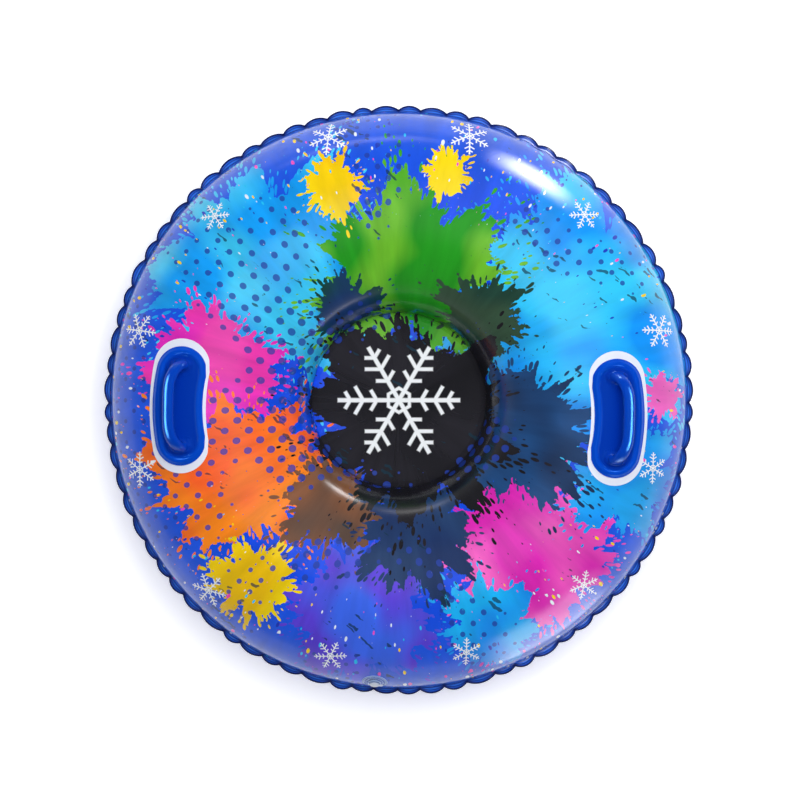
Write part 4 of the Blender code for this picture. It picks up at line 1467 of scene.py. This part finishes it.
def film_drop(x, y):
    """Height of the film over the valve's plane, by Newton's steps on the ellipse's equation."""
    height = np.zeros_like(x)
    for _ in range(NEWTON_STEPS):
        point = in_valve(np.stack([x, y, height], axis=-1))
        radius = np.hypot(point[..., 0], point[..., 1])
        across = (radius - SECTION_RADIUS) / HALF_WIDTH
        up = (point[..., 2] - SEAM_HEIGHT) / HALF_HEIGHT
        outward = (point[..., 0] * VALVE[0, 2] + point[..., 1] * VALVE[1, 2]) / radius
        slope = 2 * across / HALF_WIDTH * outward + 2 * up / HALF_HEIGHT * VALVE[2, 2]
        height = height - (across**2 + up**2 - 1) / slope
    return height


def turned_mesh(name, profile, closed=False, hug=None):
    """A profile of (distance, height) in mm turned round the valve's axis; hug follows the film."""
    profile = np.array(profile, float) * MM
    azimuth = around(ROUND_COLUMNS)[None, :]
    x = profile[:, :1] * np.cos(azimuth)
    y = profile[:, :1] * np.sin(azimuth)
    z = profile[:, 1:2] + 0 * azimuth
    if hug is not None:
        z = z + np.array(hug)[:, None] * film_drop(x, y)
    points = in_valve(np.stack([x, y, z], axis=-1))
    faces = grid_faces(len(profile), ROUND_COLUMNS, wrap_rows=closed)
    return closed_up(mesh_from(name, points.reshape(-1, 3), [faces]))


print("turned pieces have", ROUND_COLUMNS, "columns")

# %% [markdown]
# The base is a disc with two raised ridges and a collar, and inside it the socket for the stem. Clear
# plastic looks denser where it is thick, so the ridges' places are stored for the material.

# %% Add the valve's disc
# Distance from the axis and height, in mm, from the socket's foot round the disc to the collar's top
BASE_PROFILE = [
    (7.3, -6), (8.7, -6), (8.7, 0.3), (12, 0.3), (16, 0.3), (21.8, 0.3), (22, 0.5), (22, 0.85), (21.7, 1.1),
    (20.2, 1.1), (19.7, 1.25), (19.5, 1.6), (19, 1.7), (18.5, 1.6), (18.3, 1.25), (17.8, 1.1), (15.7, 1.1),
    (15.2, 1.25), (15, 1.6), (14.5, 1.7), (14, 1.6), (13.8, 1.25), (13.2, 1.1), (12.2, 1.15), (11.6, 1.5),
    (11.1, 2.2), (10.9, 2.7), (10.5, 2.95), (10, 3), (8, 3), (7.5, 2.95), (7.3, 2.75),
]
BASE_HUG = [1 if 8.8 < distance and height < 2 else 0 for distance, height in BASE_PROFILE]
DISC_RIDGES = np.array([10.4, 14.5, 19.0, 21.9]) * MM
RIDGE_WIDTH = 0.9 * MM


def store_ridges(mesh, ridges):
    """Ridge = exp(-(distance to the nearest ridge's radius / width)^2), in the valve's own frame."""
    local = from_valve(np.array([vertex.co for vertex in mesh.vertices]))
    away = np.hypot(local[:, 0], local[:, 1])[:, None]
    store_shares(mesh, "ridge", np.exp(-((abs(away - ridges).min(axis=1) / RIDGE_WIDTH) ** 2)))


disc = turned_mesh("valve_disc", BASE_PROFILE, closed=True, hug=BASE_HUG)
store_ridges(disc, DISC_RIDGES)
add_piece("valve_disc", disc, THIN_CLEAR, "tube", "clear_valve", "valve_base")

# %% [markdown]
# The stem is a short tube with a foot that stops it inside the ring and a lip outside. The stopper has a
# hollow plug that fills the stem's bore, and a finger's dent in its top.

# %% Add the spout and the stopper
STEM_PROFILE = [
    (4.5, -16.8), (8.5, -16.8), (8.8, -16.5), (8.8, -15.6), (8.5, -15.3), (7.2, -15.3), (7, -15.1), (7, 3.1),
    (7.2, 3.3), (9.2, 3.3), (9.5, 3.55), (9.5, 4.25), (9.2, 4.5), (4.8, 4.5), (4.5, 4.2),
]
STEM_WALLS = np.array([4.5, 7.0]) * MM
stem = turned_mesh("valve_spout", STEM_PROFILE, closed=True)
store_ridges(stem, STEM_WALLS)
add_piece("valve_spout", stem, THIN_CLEAR, "stem", "clear_valve", "valve_stem")

CAP_PROFILE = [
    (0, 4.8), (2.5, 4.8), (2.5, -0.2), (3.4, -0.2), (4.2, 4.8), (7.7, 4.8), (8, 5.05), (8, 6.0), (7.8, 6.3),
    (7.2, 6.42), (6.2, 6.5), (5.8, 6.72), (5.2, 6.72), (4.8, 6.55), (3, 6.8), (1.5, 6.95), (0, 7.0),
]
cap = turned_mesh("valve_stopper", CAP_PROFILE)
add_piece("valve_stopper", cap, MILKY_CLEAR, "cap", "clear_valve", "valve_cap")

# %% [markdown]
# The cap's pull tab is a small rounded tongue: a superellipse outline that thins towards its tip, with ribs
# for the finger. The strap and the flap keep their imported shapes, and take the clear material.

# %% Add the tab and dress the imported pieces
TAB_START = 7.0 * MM
TAB_END = 14.0 * MM
TAB_HALF_WIDTH = 3.5 * MM
TAB_HALF_DEPTH = 0.55 * MM
TAB_HEIGHT = 5.6 * MM
TAB_COLUMNS = 72
TAB_ROWS = 15
RIB_HEIGHT = 0.18 * MM
RIB_PITCH = 1.6 * MM
RIB_START = TAB_START + 2 * MM


def tab_mesh():
    """Place = middle + half size * signed power of cosine and sine, thinner at the tip, with ribs on top."""
    turn = around(TAB_COLUMNS)[None, :]
    rise = np.linspace(-math.pi / 2, math.pi / 2, TAB_ROWS)[:, None]
    ring = np.cos(rise) ** 0.35
    x = ring * power_of(np.cos(turn), 0.6)
    y = ring * power_of(np.sin(turn), 0.8)
    along = (TAB_START + TAB_END) / 2 + x * (TAB_END - TAB_START) / 2
    ribs = RIB_HEIGHT * np.cos((along - TAB_START) * TURN / RIB_PITCH) * (along > RIB_START)
    z = TAB_HEIGHT + np.sin(rise) * TAB_HALF_DEPTH * (1.1 - 0.25 * x) + ribs * (rise > 0) * ring
    points = in_valve(np.stack([along, y * TAB_HALF_WIDTH, z + 0 * x], axis=-1))
    return closed_up(mesh_from("valve_pull_tab", points.reshape(-1, 3), [grid_faces(*x.shape)]))


add_piece("valve_pull_tab", tab_mesh(), MILKY_CLEAR, "cap", "clear_valve")
for node_name in ("valve_strap", "valve_flap"):
    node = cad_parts[node_name]
    node.data.materials.clear()
    node.data.materials.append(MILKY_CLEAR)

# %% [markdown]
# ## Floor
# The photograph is a plain product shot on white. The floor is pale and takes the tube's shadow. For the eye
# and for mirrors it also gives a little light of its own, which makes it white. That light grows with the
# distance, because the lamps hang near the tube.

# %% Lay the floor
FLOOR_LIFT = (0.50, 0.88)
FLOOR_REACH = (1.2, 6.0)
FLOOR_SIZE = 60


def white_floor(tree, place):
    """Pale floor: diffuse, plus a light of its own that only the eye and mirrors see; clear from below."""
    away = add(tree, "VectorMath", (place,), output="Value", operation="LENGTH")
    lift = add(tree, "MapRange", (away, *FLOOR_REACH, *FLOOR_LIFT), interpolation_type="SMOOTHSTEP")
    seen = add(tree, "LightPath", output="Is Camera Ray")
    for ray in ("Is Glossy Ray", "Is Transmission Ray"):
        seen = add(tree, "Math", (seen, add(tree, "LightPath", output=ray)), operation="MAXIMUM")
    strength = add(tree, "Math", (seen, lift), operation="MULTIPLY")
    pale = add(tree, "BsdfDiffuse", {"Color": rgb("#F4F5F7")})
    own = add(tree, "Emission", {"Color": (1, 1, 1, 1), "Strength": strength})
    both = add(tree, "AddShader", (pale, own))
    behind = add(tree, "NewGeometry", output="Backfacing")
    return add(tree, "MixShader", (behind, both, add(tree, "BsdfTransparent")))


corner = FLOOR_SIZE / 2
floor_points = np.array([(-1, -1, 0), (1, -1, 0), (1, 1, 0), (-1, 1, 0)]) * corner - [0, 0, 0.5 * MM]
floor_mesh = mesh_from("floor", floor_points, [np.array([[0, 1, 2, 3]])])
floor_mesh.materials.append(make_material("pale floor", white_floor))
floor = bpy.data.objects.new("floor", floor_mesh)
bpy.context.scene.collection.objects.link(floor)
print("floor:", FLOOR_SIZE, "m wide")

# %% [markdown]
# ## Light
# The studio is bright near the ground and dim overhead, as a room with white walls and a dark ceiling. The
# film then mirrors the dark ceiling where it faces up, so the inks stay deep, and the white walls only along
# its edge. The world could be an even white, but that would lay a grey veil over the whole print.

# %% Build the studio
ROOM_LEVELS = ((-0.10, 1.0), (0.03, 1.0), (0.16, 0.38), (0.42, 0.16), (1.0, 0.10))
world = bpy.data.worlds.new("studio")
world.use_nodes = True
sky_tree = world.node_tree
sky_tree.nodes.clear()
direction = add(sky_tree, "TexCoord", output="Generated")
rise = add(sky_tree, "SeparateXYZ", (direction,), output="Z")
level = add(sky_tree, "ValToRGB", (add(sky_tree, "Math", (rise, 0.5, 0.5), operation="MULTIPLY_ADD"),))
steps = level.node.color_ramp
steps.interpolation = "EASE"
for number, (height, grey) in enumerate(ROOM_LEVELS):
    place = 0.5 + height / 2
    stop = steps.elements[number] if number < 2 else steps.elements.new(place)
    stop.position = place
    stop.color = (grey, grey, grey, 1)
add(sky_tree, "OutputWorld", {"Surface": add(sky_tree, "Background", (level, 1))})
bpy.context.scene.world = world
print("room:", ", ".join(f"{height:+.2f} up is {grey}" for height, grey in ROOM_LEVELS))

# %% [markdown]
# ## Lamps
# One wide lamp overhead gives the even light. It is hidden from mirrors, and so is the key lamp, which gives
# the ring its lit and its shaded side. The other lamps are there for their reflections. Two small ones stand
# close to the shoulder, so low that the ring hides them from its own inner slope. Two long ones are each
# linked to one grip and draw its highlight.

# %% List the lamps
# Name, azimuth, elevation, distance, size in metres, power, share that fades, and the rays that miss it
LAMPS = (
    ("overhead", 60, 83, 4.5, (3.4, 3.4), 185, 0.3, "glossy"),
    ("key", 55, 52, 4.0, (2.2, 2.2), 62, 0.3, "glossy"),
    ("streak", 59, 12.2, 0.68, (0.30, 0.20), 6.0, 0.95, "diffuse"),
    ("window", -56, 2.7, 0.69, (0.42, 0.44), 2.2, 0.5, "diffuse"),
    ("strip", 98, 15, 2.8, (2.4, 0.35), 9, 0.8, "camera"),
)
GRIP_LAMP = (42, 2.6, (5.0, 1.3), 800, 0.6, "diffuse")
print(len(LAMPS), "lamps for the tube and one for each grip")

# %% [markdown]
# A lamp's panel shows in glossy film with a hard outline. A real softbox is brightest in the middle, so the
# light of each fades towards its sides.

# %% Hang the lamps
def soften(lamp, edge):
    """Lamp strength = smoothstep(distance to the nearer side / edge) across and along the panel."""
    lamp.use_nodes = True
    tree = lamp.node_tree
    tree.nodes.clear()
    place = add(tree, "SeparateXYZ", (add(tree, "NewGeometry", output="Parametric"),))
    strength = 1.0
    for side in (place, place.node.outputs["Y"]):
        from_middle = add(tree, "Math", (side, 2, -1), operation="MULTIPLY_ADD")
        from_middle = add(tree, "Math", (from_middle,), operation="ABSOLUTE")
        fade = (from_middle, 1 - edge, 1, 1, 0)
        fade = add(tree, "MapRange", fade, interpolation_type="SMOOTHSTEP")
        strength = add(tree, "Math", (strength, fade), operation="MULTIPLY")
    add(tree, "OutputLight", {"Surface": add(tree, "Emission", {"Strength": strength})})


def add_lamp(name, azimuth, elevation, distance, size, power, edge, blind):
    """A softbox in a direction given in degrees from the ring's middle, hidden from one kind of ray."""
    lamp = bpy.data.lights.new(name, "AREA")
    lamp.shape = "RECTANGLE"
    lamp.size, lamp.size_y = size
    lamp.energy = power
    soften(lamp, edge)
    turn, rise = math.radians(azimuth), math.radians(elevation)
    way = Vector((math.cos(turn) * math.cos(rise), math.sin(turn) * math.cos(rise), math.sin(rise)))
    softbox = bpy.data.objects.new(name, lamp)
    softbox.location = way * distance + Vector((0, 0, SEAM_HEIGHT))
    softbox.rotation_euler = way.to_track_quat("Z", "Y").to_euler()
    softbox.visible_camera = False
    setattr(softbox, f"visible_{blind}", False)
    bpy.context.scene.collection.objects.link(softbox)
    print(f"{name}: {power} W at {azimuth} degrees, {elevation} up")
    return softbox


for lamp_row in LAMPS:
    add_lamp(*lamp_row)
for side_name, azimuth in HANDLE_AZIMUTHS.items():
    lit = bpy.data.collections.new(f"{side_name} grip")
    lit.objects.link(bpy.data.objects[f"{side_name}_grip"])
    shine = add_lamp(f"{side_name} shine", azimuth, *GRIP_LAMP)
    shine.light_linking.receiver_collection = lit

# %% [markdown]
# ## Camera
# The photograph looks straight down from far away, so a long lens does the same here.

# %% Set the camera
PHOTO_SIZE = 800
SCALE = 1.70 * MM
OUTLINE_MIDDLE = (398.9, 400.2)
CAMERA_HEIGHT = 8.0
SENSOR = 36.0
lens = bpy.data.cameras.new("camera")
lens.sensor_width = SENSOR
lens.lens = SENSOR * (CAMERA_HEIGHT - SEAM_HEIGHT) / (PHOTO_SIZE * SCALE)
camera = bpy.data.objects.new("camera", lens)
right = (PHOTO_SIZE / 2 - OUTLINE_MIDDLE[0]) * SCALE
up = (OUTLINE_MIDDLE[1] - PHOTO_SIZE / 2) * SCALE
camera.location = (right, up, CAMERA_HEIGHT)
bpy.context.scene.collection.objects.link(camera)
bpy.context.scene.camera = camera
bpy.context.scene.view_settings.view_transform = "Standard"
print(f"lens {lens.lens:.0f} mm")

# %% [markdown]
# ## The last step
# The dressed tube has to be as big as the imported one. The view layer is updated last, so that every
# piece stands where the body it rides on puts it.

# %% Update and finish
bpy.context.view_layer.update()
